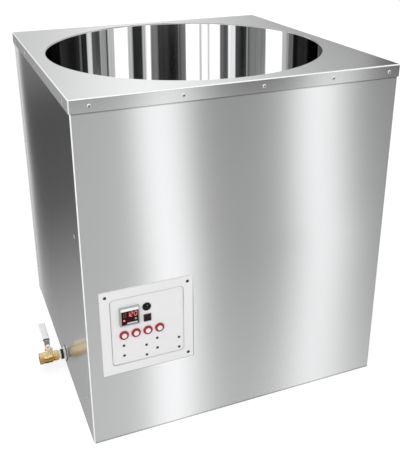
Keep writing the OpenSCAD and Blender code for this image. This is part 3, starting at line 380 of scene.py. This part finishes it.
# Heaters: four steel-clad mica bands strapped round the tank, each drawn tight by a bolt across its gap
# and wired to its own push-button.
mica = Finish("mica_band")
scale = mica.noise(mica.place(), 45.0, 5.0)
mica_band = mica.surface(
    Base_Color=mica.blend(scale, (0.30, 0.29, 0.27), (0.52, 0.51, 0.49)), Metallic=0.7,
    Roughness=scale * 0.25 + 0.35, Normal=mica.bump(mica.noise(mica.place(), 160.0, 3.0), 0.0002))
wear(mica_band, "heater_band_1", "heater_band_2", "heater_band_3", "heater_band_4")
wear(fastener_steel, "heater_clamp_bolts")


# Insulation: a blanket of yellow mineral wool round the tank and a pad of it under the floor, with a
# galvanised sheet wrapped round the blanket to keep it in shape.
wool = Finish("mineral_wool")
tufts = wool.noise(wool.place() * (1.0, 1.0, 2.2), 120.0, 6.0, 0.7)
clumps = wool.noise(wool.place(), 18.0, 3.0)
mineral_wool = wool.surface(
    Base_Color=wool.blend(tufts * 0.6 + clumps * 0.4, (0.42, 0.33, 0.14), (0.78, 0.68, 0.40)),
    Roughness=0.95, Normal=wool.bump(tufts, 0.003))
wear(mineral_wool, "insulation_blanket", "floor_insulation")
wear(galvanised, "insulation_jacket")


# Seals: a ring of pale heat-resistant silicone between the tank's rim and the cover, and a flat gasket of
# it behind the control panel, both cut from sheet and pressed between the steel.
silicone_seal = grained("silicone_seal", 300.0, 3.0, dark=(0.70, 0.70, 0.68), light=(0.80, 0.80, 0.78),
                        roughness=0.55, relief=0.0001)
wear(silicone_seal, "tank_seal", "panel_gasket")


# Sensors: the controller's temperature probe, in a drawn stainless can, and the overheat thermostat, in a
# black moulded case.
sensor_steel = grained("sensor_steel", 1.0, 3.0, dark=(0.52, 0.52, 0.53), light=(0.68, 0.68, 0.69),
                       roughness=(0.22, 0.37), stretch=(300.0, 300.0, 20.0), Metallic=1.0)
wear(sensor_steel, "temperature_probe")
black_plastic = grained("black_plastic", 1800.0, 3.0, dark=(0.007, 0.007, 0.008), light=(0.016, 0.016, 0.018),
                        roughness=(0.35, 0.5), relief=0.00003, Specular_IOR_Level=0.25)
wear(black_plastic, "overheat_thermostat")


# Outlet: the tank's drawn stainless outlet pipe comes out through the left side. A black gasket and a
# coned bright washer are drawn up by a blackened hexagon locknut.
wear(sensor_steel, "outlet_pipe")
black_rubber = grained("black_rubber", 700.0, 3.0, dark=(0.010, 0.010, 0.010), light=(0.022, 0.022, 0.022),
                       roughness=(0.6, 0.8))
wear(black_rubber, "outlet_gasket", "lever_collar")
flange_chrome = grained("flange_chrome", 260.0, 4.0, dark=(0.84, 0.84, 0.85), light=(0.92, 0.92, 0.92),
                        roughness=(0.24, 0.36), Metallic=0.55)
wear(flange_chrome, "outlet_flange")
blackening = Finish("black_nut")
rub = blackening.noise(blackening.place(), 420.0, 5.0)
black_nut = blackening.surface(
    Base_Color=blackening.blend(rub.between(0.5, 0.85), (0.016, 0.016, 0.018), (0.10, 0.10, 0.105)),
    Metallic=0.6, Roughness=rub * 0.2 + 0.25)
wear(black_nut, "outlet_locknut")


def turned(name, profile, centre, axis, steps=64):
    """A ring or knob turned round an axis, X or Y, from its (along, radius) outline."""
    points, faces = [], []
    for i in range(steps):
        a = 2 * math.pi * i / steps
        for along, radius in profile:
            u, v = radius * math.cos(a), radius * math.sin(a)
            points.append(Vector((along, u, v) if axis == "X" else (u, along, v)) + Vector(centre))
    n = len(profile)
    for i in range(steps):
        j = (i + 1) % steps
        faces += [(i * n + k, i * n + k + 1, j * n + k + 1, j * n + k) for k in range(n - 1)]
    return new_piece(name, points, faces, smooth=True)


# White sealing tape shows between the locknut and the valve, wound on the pipe's thread.
tape_start, tape_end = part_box("outlet_locknut")[0].x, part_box("valve_body")[1].x
tape_radius, tape_ridge, tape_turns, turn_steps = 0.01074, 0.00022, 4, 8
flange_low, flange_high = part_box("outlet_flange")
_, pipe_y, pipe_z = (flange_low + flange_high) / 2
tape_profile = []
for i in range(tape_turns * turn_steps + 1):
    share = i / (tape_turns * turn_steps)
    lap = (share * tape_turns) % 1.0
    tape_profile.append((tape_start + (tape_end - tape_start) * share,
                         tape_radius + tape_ridge * math.sin(math.pi * lap)))
tape = turned("pipe_tape", tape_profile, (0.0, pipe_y, pipe_z), "X")
ptfe = grained("ptfe", 1.0, 4.0, dark=(0.78, 0.78, 0.75), light=(0.90, 0.90, 0.88), roughness=0.5,
               stretch=(900.0, 120.0, 120.0), relief=0.0002)
tape.data.materials.append(ptfe)
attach(tape, "cabinet")


# Valve: a forged brass quarter-turn ball valve, screwed on the pipe. Body, screwed end, gland nut and stem are
# brass, with a painted shade below the pipe's axis and a painted highlight above it; the ball is chromed, its seats
# and packing PTFE.
highlight_band, shade_band = (0.003, 0.017), (-0.002, -0.016)
forged = Finish("brass")
pits = forged.noise(forged.place(), 520.0, 5.0)
lumps = forged.noise(forged.place(), 150.0, 2.0)
tarnish = forged.noise(forged.place(), 70.0, 3.0)
# Painted shade below the pipe's axis and a painted highlight above it, with a ragged edge from the tarnish noise.
over_axis = forged.place().split()[2] - pipe_z + (tarnish - 0.5) * 0.010
clean = forged.blend(tarnish * 0.6 + pits * 0.4, (0.42, 0.22, 0.045), (0.78, 0.51, 0.16))
highlighted = forged.blend(over_axis.between(*highlight_band), clean, (0.98, 0.80, 0.44))
brass = forged.surface(
    Base_Color=forged.blend(over_axis.between(*shade_band), highlighted, (0.13, 0.06, 0.015)), Metallic=1.0,
    Roughness=pits * 0.16 + 0.10, Normal=forged.bump(pits * 0.25 + lumps * 0.75, 0.0009))
wear(brass, "valve_body", "valve_end_adapter", "packing_nut", "valve_stem")
wear(ptfe, "valve_seats", "stem_packing")
wear(flange_chrome, "valve_ball")


# Lever: a bent strip of zinc-plated steel on the stem, held by a plain nut. It wears a white dipped sleeve
# with a black band at its root.
lever_steel = grained("lever_steel", 1.0, 4.0, dark=(0.58, 0.59, 0.60), light=(0.74, 0.75, 0.76),
                      roughness=(0.16, 0.31), stretch=(400.0, 30.0, 400.0), Metallic=1.0)
wear(lever_steel, "valve_lever", "lever_nut")
white_sleeve = grained("white_sleeve", 60.0, 3.0, dark=(0.84, 0.85, 0.86), light=(0.93, 0.93, 0.94),
                       roughness=0.3, relief=0.0004, Coat_Weight=0.3)
wear(white_sleeve, "lever_sleeve")


# Control panel: a white moulded plate over the opening in the front, with a sunken field for the controls,
# three dark corner screws and one white plug where a fourth would be.
field_inset, field_corner = 0.023, 0.009
field_half = panel_half - field_inset - field_corner
field_foot, field_lip = (-0.0024, -0.0010), (0.0008, 0.0)
# A thin painted shade runs along the inside of the sunken field's step, heavier on its upper and left sides.
shaded_side = (panel_z - panel_x - 0.1185, panel_z - panel_x + 0.1215)
plate = Finish("white_panel")
plate_place = plate.place()
spark = plate.noise(plate_place, 1500.0, 2.0)
plate_x, _, plate_z = plate_place.split()
step = past_square(plate_x, plate_z, panel_x, panel_z, field_half, field_corner)
step_shade = step.between(*field_foot) * step.between(*field_lip) * (
    (plate_z - plate_x).between(*shaded_side) * 0.45 + 0.28)
moulded_white = plate.blend(plate.noise(plate_place, 9.0, 2.0), (0.80, 0.80, 0.80), (0.84, 0.84, 0.84))
white_panel = plate.surface(
    Base_Color=plate.blend(step_shade, moulded_white, (0.12, 0.12, 0.125)), Roughness=spark * 0.1 + 0.42,
    Normal=plate.bump(spark, 0.00002))
wear(white_panel, "control_panel", "hole_plug")
dark_screw = grained("dark_screw", 800.0, 3.0, dark=(0.02, 0.02, 0.022), light=(0.09, 0.09, 0.095),
                     roughness=(0.35, 0.55), Metallic=0.5)
wear(dark_screw, "panel_screws", "relay_screws")


# Temperature controller: a bought-in digital controller, a silver-grey moulded case held by a black clamp
# behind the panel, with a dark red window and a strip of membrane keys under the figures.
controller_grey = grained("controller_grey", 2200.0, 2.0, dark=(0.32, 0.33, 0.34), light=(0.43, 0.44, 0.45),
                          roughness=(0.28, 0.38), Metallic=0.3)
wear(controller_grey, "controller_housing")
display_window = grained("display_window", 60.0, 2.0, dark=(0.012, 0.001, 0.001), light=(0.05, 0.004, 0.006),
                         roughness=0.2, Specular_IOR_Level=0.1)
wear(display_window, "controller_window")
key_grey = grained("key_grey", 900.0, 2.0, dark=(0.56, 0.57, 0.58), light=(0.70, 0.70, 0.71), roughness=0.4)
wear(key_grey, "controller_keys")
wear(black_plastic, "controller_clamp")


def flat_piece(name, outlines, y, thickness):
    """Flat chips with their face to the front, from closed (x, z) outlines."""
    points, faces = [], []
    for outline in outlines:
        n, first = len(outline), len(points)
        points += [(x, y, z) for x, z in outline] + [(x, y + thickness, z) for x, z in outline]
        faces.append(tuple(range(first, first + n)))
        faces += [(first + i, first + (i + 1) % n, first + n + (i + 1) % n, first + n + i) for i in range(n)]
    return new_piece(name, points, faces)


# The case's upper edge carries a thin pale strip above the window.
window_low, window_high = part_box("controller_window")
facing_depth = 0.0003
facing_left, facing_right = window_low.x - 0.0018, window_high.x + 0.0004
facing_low, facing_high = window_high.z + 0.0006, window_high.z + 0.0078
facing = flat_piece(
    "bezel_facing", [[(facing_left, facing_low), (facing_right, facing_low), (facing_right, facing_high),
                      (facing_left, facing_high)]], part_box("controller_housing")[0].y - facing_depth, facing_depth)
facing.data.materials.append(grained(
    "bezel_pale_strip", 400.0, 2.0, dark=(0.86, 0.86, 0.86), light=(0.93, 0.93, 0.93), roughness=0.25))
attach(facing, "cabinet")

# The figures: four places of seven bars each, the first unlit and the others reading 120. The bars lean a little and
# glow pinkish red, and the unlit figure has a faint painted glow; a red and a green signal lamp stand below them.
# All are placed from the window's middle.
window_x, _, window_z = (window_low + window_high) / 2
chip_depth, figure_y = 0.0001, window_low.y - 0.00012
figure_height, figure_width, bar, bar_gap, lean = 0.0135, 0.0078, 0.0020, 0.12, 0.08
figure_places = {"ghost": (-0.0127, 0.0081, "8"), "hundreds": (-0.0043, 0.0084, "1"),
                 "tens": (0.0037, 0.0086, "2"), "units": (0.0137, 0.0086, "0")}
bars_of = {"0": "abcdef", "1": "bc", "2": "abged", "8": "abcdefg"}
bar_ends = {"a": ((0, 1), (1, 1)), "b": ((1, 1), (1, 0.5)), "c": ((1, 0.5), (1, 0)), "d": ((0, 0), (1, 0)),
            "e": ((0, 0.5), (0, 0)), "f": ((0, 1), (0, 0.5)), "g": ((0, 0.5), (1, 0.5))}


def bar_outline(x, z, ends):
    """One bar of a figure: a slim hexagon between two corners of the figure's box, with a hair of a gap."""
    corners = []
    for u, v in ends:
        dz = (v - 0.5) * (figure_height - bar)
        corners.append(Vector((x + (u - 0.5) * (figure_width - bar) + dz * lean, z + dz)))
    a, b = corners
    along = (b - a).normalized()
    side = Vector((-along.y, along.x)) * bar / 2
    a, b = a + along * bar * bar_gap, b - along * bar * bar_gap
    return [a, a + along * bar / 2 + side, b - along * bar / 2 + side, b, b - along * bar / 2 - side,
            a + along * bar / 2 - side]


def lit(name, colour, strength, body):
    """A translucent lamp or bar: its moulded body glows from inside."""
    glow = Finish(name)
    pulse = glow.noise(glow.place(), 500.0, 2.0)
    return glow.surface(
        Base_Color=glow.blend(pulse, [c * 0.8 for c in body], body), Roughness=0.3,
        Emission_Color=glow.blend(pulse, [c * 0.85 for c in colour], colour), Emission_Strength=strength)


figure_red = lit("figure_red", (0.95, 0.20, 0.20), 0.75, (0.35, 0.08, 0.08))
# The unlit figure's faint glow is painted light, not a lamp.
figure_faint_glow = lit("figure_faint_glow", (0.10, 0.035, 0.035), 0.4, (0.06, 0.02, 0.02))
for place, (x, z, digit) in figure_places.items():
    outlines = [bar_outline(window_x + x, window_z + z, bar_ends[key]) for key in bars_of[digit]]
    figure = flat_piece("figure_" + place, outlines, figure_y, chip_depth)
    figure.data.materials.append(figure_faint_glow if place == "ghost" else figure_red)
    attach(figure, "cabinet")


def disc(x, z, radius, count=32):
    return [(x + radius * math.cos(2 * math.pi * i / count), z + radius * math.sin(2 * math.pi * i / count))
            for i in range(count)]


heating_spot, heating_radius = (window_x - 0.0144, window_z - 0.0056), 0.0024
signal_spot, signal_radius = (window_x + 0.0135, window_z - 0.0052), 0.0026
heating_lamp = flat_piece("heating_lamp", [disc(*heating_spot, heating_radius)], figure_y, chip_depth)
heating_lamp.data.materials.append(lit("lamp_red", (1.0, 0.30, 0.25), 0.8, (0.5, 0.10, 0.08)))
signal_lamp = flat_piece("signal_lamp", [disc(*signal_spot, signal_radius)], figure_y, chip_depth)
signal_lamp.data.materials.append(lit("lamp_green", (0.16, 0.42, 0.26), 0.6, (0.08, 0.22, 0.14)))
for lamp in (heating_lamp, signal_lamp):
    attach(lamp, "cabinet")


# Switches: a round black rocker for the mains, snapped into the panel, with a thin green pilot spot, and a
# square black push-button with a dark red lens, held by a nut from behind.
rocker_black = grained("rocker_black", 90.0, 2.0, dark=(0.003, 0.0035, 0.0035), light=(0.007, 0.008, 0.008),
                       roughness=(0.12, 0.22), Specular_IOR_Level=0.15)
wear(rocker_black, "main_switch_rocker")
switch_low, switch_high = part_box("main_switch_body")
switch_x, _, switch_z = (switch_low + switch_high) / 2
pilot_right, pilot_up, in_front = 0.0014, 0.0024, -1.0
pilot_profile = [(-0.0003, 0.0), (-0.00022, 0.0010), (0.0005, 0.0014)]
before_pilot = Vector((switch_x + pilot_right, in_front, switch_z + pilot_up))
pilot_spot = nodes["main_switch_rocker"].ray_cast(before_pilot, Vector((0, 1, 0)))[1]
pilot = turned("rocker_pilot", pilot_profile, pilot_spot, "Y", 24)
pilot.data.materials.append(lit("pilot_green", (0.30, 0.62, 0.54), 0.45, (0.16, 0.36, 0.31)))
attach(pilot, "main_rocker")
wear(black_plastic, "main_switch_body", "square_button_body")
square_lens = grained("square_lens", 300.0, 2.0, dark=(0.016, 0.002, 0.004), light=(0.030, 0.004, 0.009),
                      roughness=(0.2, 0.3), Specular_IOR_Level=0.15)
wear(square_lens, "square_button_cap")


# Heater buttons: four push-buttons, one per heater. Each has a deep red moulded collar, held to the panel
# by a zinc-plated nut from behind, a white cap that slides in it and a black contact block.
collar_red = grained("collar_red", 700.0, 2.0, dark=(0.30, 0.005, 0.008), light=(0.40, 0.010, 0.014),
                     roughness=(0.2, 0.3))
wear(collar_red, "button_collars")
cap_white = grained("cap_white", 600.0, 2.0, dark=(0.80, 0.80, 0.79), light=(0.87, 0.87, 0.86),
                    roughness=(0.25, 0.35))
wear(cap_white, "button_cap_1", "button_cap_2", "button_cap_3", "button_cap_4")
wear(fastener_steel, "button_nuts")
wear(black_plastic, "button_switches")


# Relays and terminals: four black moulded relays bolted to the back of the panel by the pairs of small
# screws, and the cream moulded terminal block where the mains lead ends.
wear(black_plastic, "relays")
terminal_cream = grained("terminal_cream", 500.0, 3.0, dark=(0.64, 0.61, 0.52), light=(0.74, 0.71, 0.62),
                         roughness=0.5)
wear(terminal_cream, "terminal_block")


# Cable gland: a black nylon gland screwed into the back, low down, where the mains lead enters. Its dome
# nut closes on the lead.
wear(black_plastic, "cable_gland", "gland_dome_nut")


# Studio: a white room with black flags stood round the object, which only polished metal sees, and a white
# floor that keeps a soft shadow. Bearings are in degrees from straight in front, positive to the right,
# and rises in degrees above eye level.
world = bpy.data.worlds.new("studio")
scene.world = world
world.cycles.sampling_method = "NONE"
studio = Finish(world)
across, ahead, up = studio.add("ShaderNodeTexCoord", out="Generated").split()
bearing = studio.add("ShaderNodeMath", {"operation": "ARCTAN2"}, {0: across, 1: -ahead}) * math.degrees(1.0)
rise = studio.add("ShaderNodeMath", {"operation": "ARCSINE"}, {0: up}) * math.degrees(1.0)


def around(centre, half, soft):
    """1 within that half width of a bearing and 0 outside it, with a soft edge."""
    return abs(bearing - centre).between(half + soft, half - soft)


# A rail of tall flags and gaps hangs a little above eye level: the tank's wall mirrors it as upright
# bands. Each flag has a bearing, a half width, a softness and a darkness.
rail = 1.0
for centre, half, soft, dark in (
        (128.3, 15.0, 1.0, 0.998), (99.6, 14.4, 0.8, 0.984), (96.0, 6.0, 3.0, 0.50), (83.6, 2.4, 0.8, 0.91),
        (79.2, 3.6, 0.8, 0.985), (72.8, 2.8, 0.8, 0.46), (65.4, 4.8, 0.8, 0.93), (64.0, 1.6, 2.0, 0.40),
        (57.6, 3.0, 0.8, 0.76), (53.5, 1.3, 1.0, 0.96), (49.0, 3.3, 0.8, 0.56), (30.0, 2.3, 0.8, 0.58),
        (22.9, 5.2, 1.2, 0.985), (16.2, 1.0, 2.4, 0.94), (6.6, 3.9, 1.0, 0.87), (-6.2, 9.8, 1.0, 0.975),
        (-9.6, 3.2, 2.6, 0.90), (-16.6, 0.8, 2.8, 0.84), (-19.0, 3.2, 0.7, 0.865), (-35.7, 1.1, 0.9, 0.56),
        (-43.2, 0.7, 1.1, 0.62), (-57.9, 4.0, 0.8, 0.89), (-59.4, 1.4, 1.6, 0.50), (-65.4, 2.8, 0.6, 0.28),
        (-74.4, 5.9, 0.8, 0.955), (-75.8, 2.4, 3.0, 0.90), (-90.2, 9.7, 1.0, 0.83), (-81.9, 1.4, 1.6, 0.50),
        (-122.3, 3.6, 0.8, 0.62), (-129.4, 4.2, 2.4, 0.89), (-155.6, 23.4, 0.9, 0.985), (-136.8, 2.4, 1.2, 0.70),
        (-147.2, 2.0, 1.4, 0.80), (-167.0, 12.0, 2.0, 0.95), (176.0, 9.0, 6.0, 0.42)):
    rail = rail * (1.0 - around(centre, half, soft) * dark)

# A grey cloth behind on the right dims the rail there, and more so low down.
cloth = bearing.between(130.0, 136.0)
rail = rail * (1.0 - cloth * (bearing.between(164.0, 144.0) * 0.52 + 0.1))
rail = rail * (1.0 - bearing.between(172.0, 152.0) * cloth * rise.between(14.5, 11.0) * 0.42)

# Below the rail the casing mirrors the grey room's lower half. The ground in front on the right is pale
# near the object and dark farther off, there is a dark nook behind, and it is dark straight down. Each
# soft strip of light has a bearing, a half width, a softness and a gain.
ground, nook = around(26.0, 30.0, 8.0), around(-172.0, 9.0, 5.0)
room = 0.27 + ground * (0.15 - 0.13 * rise.between(-42.0, -28.0) - 0.24 * rise.between(-17.0, -13.5))
for centre, half, soft, gain in (
        (19.2, 1.0, 2.6, 0.78), (33.2, 0.8, 2.5, 0.85), (8.0, 6.0, 4.0, 0.12), (-14.0, 1.5, 5.0, 0.42),
        (-31.0, 1.0, 3.0, 0.50), (-44.0, 4.0, 5.0, 0.30), (-63.0, 1.0, 4.0, 0.52), (-78.0, 3.0, 5.0, 0.26),
        (-96.0, 1.0, 4.0, 0.55), (-112.0, 4.0, 6.0, 0.24), (-129.0, 1.0, 3.5, 0.50), (-155.0, 5.0, 6.0, 0.52),
        (66.0, 1.0, 4.0, 0.50), (82.0, 4.0, 6.0, 0.25), (99.0, 1.0, 3.5, 0.55), (117.0, 4.0, 6.0, 0.26),
        (134.0, 1.0, 3.5, 0.52), (150.0, 3.0, 5.0, 0.28), (166.0, 1.0, 4.0, 0.45), (180.0, 4.0, 7.0, 0.30)):
    room = room + abs(bearing - centre).between(half + soft, half) * gain
room = room * (1.0 - nook * (0.10 + 0.72 * rise.between(-36.0, -23.0) - 0.35 * rise.between(-17.5, -12.5)))
room = room * (1.0 - 0.85 * rise.between(-47.0, -66.0))

# The rail hangs lower on both sides and behind on the left, as far down as the tank's wall mirrors it.
rail_dip = (bearing.between(60.0, 96.0) * 10.0 + bearing.between(120.0, 136.0) * 4.0) * bearing.between(145.0, 139.0)
rail_dip = rail_dip + bearing.between(-105.0, -120.0) * 10.0
mirrored = room + (rail - room) * (rise + rail_dip).between(1.5, 3.0)

# Black cloth round eye level behind: the tips of the tank's crescent mirror it, next to the cover.
cloth_top = rise.between(7.0, 4.0)
pit = bearing.between(136.0, 140.0) * (1.0 - 0.6 * bearing.between(160.0, 168.0))
mirrored = mirrored * (1.0 - 0.93 * (pit * rise.between(-16.0, -13.0) * cloth_top))
tips = bearing.between(139.0, 141.0) * (1.0 - 0.16 * bearing.between(156.0, 166.0))
tips = (tips + bearing.between(-172.0, -175.0) * 0.84) * rise.between(-9.8, -8.4) * cloth_top
mirrored = mirrored * (1.0 - 0.985 * tips)

# Over it all lies a grey ceiling with a paler ring, which the flat cover mirrors.
ceiling = 0.50 + 0.32 * (rise.between(11.0, 20.0) * rise.between(60.0, 46.0))
mirrored = mirrored + (ceiling - mirrored) * (rise + bearing.between(139.0, 132.0) * 5.5).between(17.0, 25.0)

# The camera sees plain white, and so does what is seen through something clear. Only mirrored rays see
# the flags; the rest of the light is even.
plain_level, mirror_level = 0.90, 1.42
camera_ray, glossy_ray, clear_ray = (studio.add("ShaderNodeLightPath", out=ray) for ray in (
    "Is Camera Ray", "Is Glossy Ray", "Is Transmission Ray"))
seen = camera_ray + clear_ray
strength = seen + (1.0 - seen) * (glossy_ray * (mirrored * mirror_level) + (1.0 - glossy_ray) * plain_level)
backdrop = studio.add("ShaderNodeBackground", {}, {"Color": (1.0, 1.0, 1.0), "Strength": strength})
studio.add("ShaderNodeOutputWorld", {}, {"Surface": backdrop})

# The floor is lifted to white for the camera and grey to the object, so that only a soft shadow shows.
floor_reach, floor_drop, floor_lift = 60.0, 0.0005, 0.70
floor = new_piece("floor", [(-floor_reach, -floor_reach, 0), (floor_reach, -floor_reach, 0),
                            (floor_reach, floor_reach, 0), (-floor_reach, floor_reach, 0)], [(0, 1, 2, 3)])
floor.location.z = -floor_drop
floor_finish = Finish("floor")
floor_seen = floor_finish.add("ShaderNodeLightPath", out="Is Camera Ray")
matt = floor_finish.add("ShaderNodeBsdfDiffuse", {}, {
    "Color": floor_finish.blend(floor_seen, (0.85, 0.85, 0.85), (0.40, 0.40, 0.40))})
lift = floor_finish.add("ShaderNodeEmission", {}, {"Color": (1.0, 1.0, 1.0), "Strength": floor_seen * floor_lift})
both = floor_finish.add("ShaderNodeAddShader", {}, {0: matt, 1: lift})
floor_finish.add("ShaderNodeOutputMaterial", {}, {"Surface": both})
floor.data.materials.append(floor_finish.owner)
floor.visible_glossy = False

# Steel mirrors the studio, and of the object's own pieces only the valve and the outlet, as in the
# photograph.
for name in frame["record"]["behaviour"]["bodies"]["cabinet"]:
    if not name.startswith(("valve", "outlet", "packing", "stem", "cable", "gland")):
        nodes[name].visible_glossy = False
for name in ("lever_sleeve", "lever_collar", "valve_lever", "lever_nut"):
    nodes[name].visible_glossy = False

# One soft square lamp stands high on the left in front. Metal doesn't mirror it.
lamp_place, lamp_target, lamp_size, lamp_power = (-2.2, -3.0, 3.2), (0.0, 0.0, 0.4), 1.6, 40.0
light = bpy.data.lights.new("key_lamp", "AREA")
light.size, light.energy = lamp_size, lamp_power
key_lamp = bpy.data.objects.new("key_lamp", light)
key_lamp.location = lamp_place
key_lamp.rotation_euler = (Vector(lamp_target) - Vector(lamp_place)).to_track_quat("-Z", "Y").to_euler()
key_lamp.visible_glossy = False
scene.collection.objects.link(key_lamp)


# Camera: placed from the photograph's edges, a little to the left of the front and from above. Focal
# length and optical centre are in the photograph's pixels.
picture_width, picture_height = 400, 461
focal_pixels, centre_x, centre_y = 680.73, 195.0, 165.0
camera_place, sensor_width = (-0.6421, -1.7039, 1.2471), 36.0
turn, tilt, roll = math.radians(-21.496), math.radians(21.453), math.radians(-0.413)
back = Vector((math.sin(turn) * math.cos(tilt), -math.cos(turn) * math.cos(tilt), math.sin(tilt)))
right = Vector((math.cos(turn), math.sin(turn), 0.0))
upward = back.cross(right)
right, upward = (right * math.cos(roll) + upward * math.sin(roll), upward * math.cos(roll) - right * math.sin(roll))
camera = bpy.data.objects.new("camera", bpy.data.cameras.new("camera"))
scene.collection.objects.link(camera)
camera.matrix_world = Matrix.Translation(camera_place) @ Matrix((right, upward, back)).transposed().to_4x4()
camera.data.sensor_width = sensor_width
camera.data.lens = focal_pixels * sensor_width / picture_height
camera.data.shift_x = (picture_width / 2 - centre_x) / picture_height
camera.data.shift_y = (centre_y - picture_height / 2) / picture_height
scene.camera = camera
scene.view_settings.view_transform = "Standard"
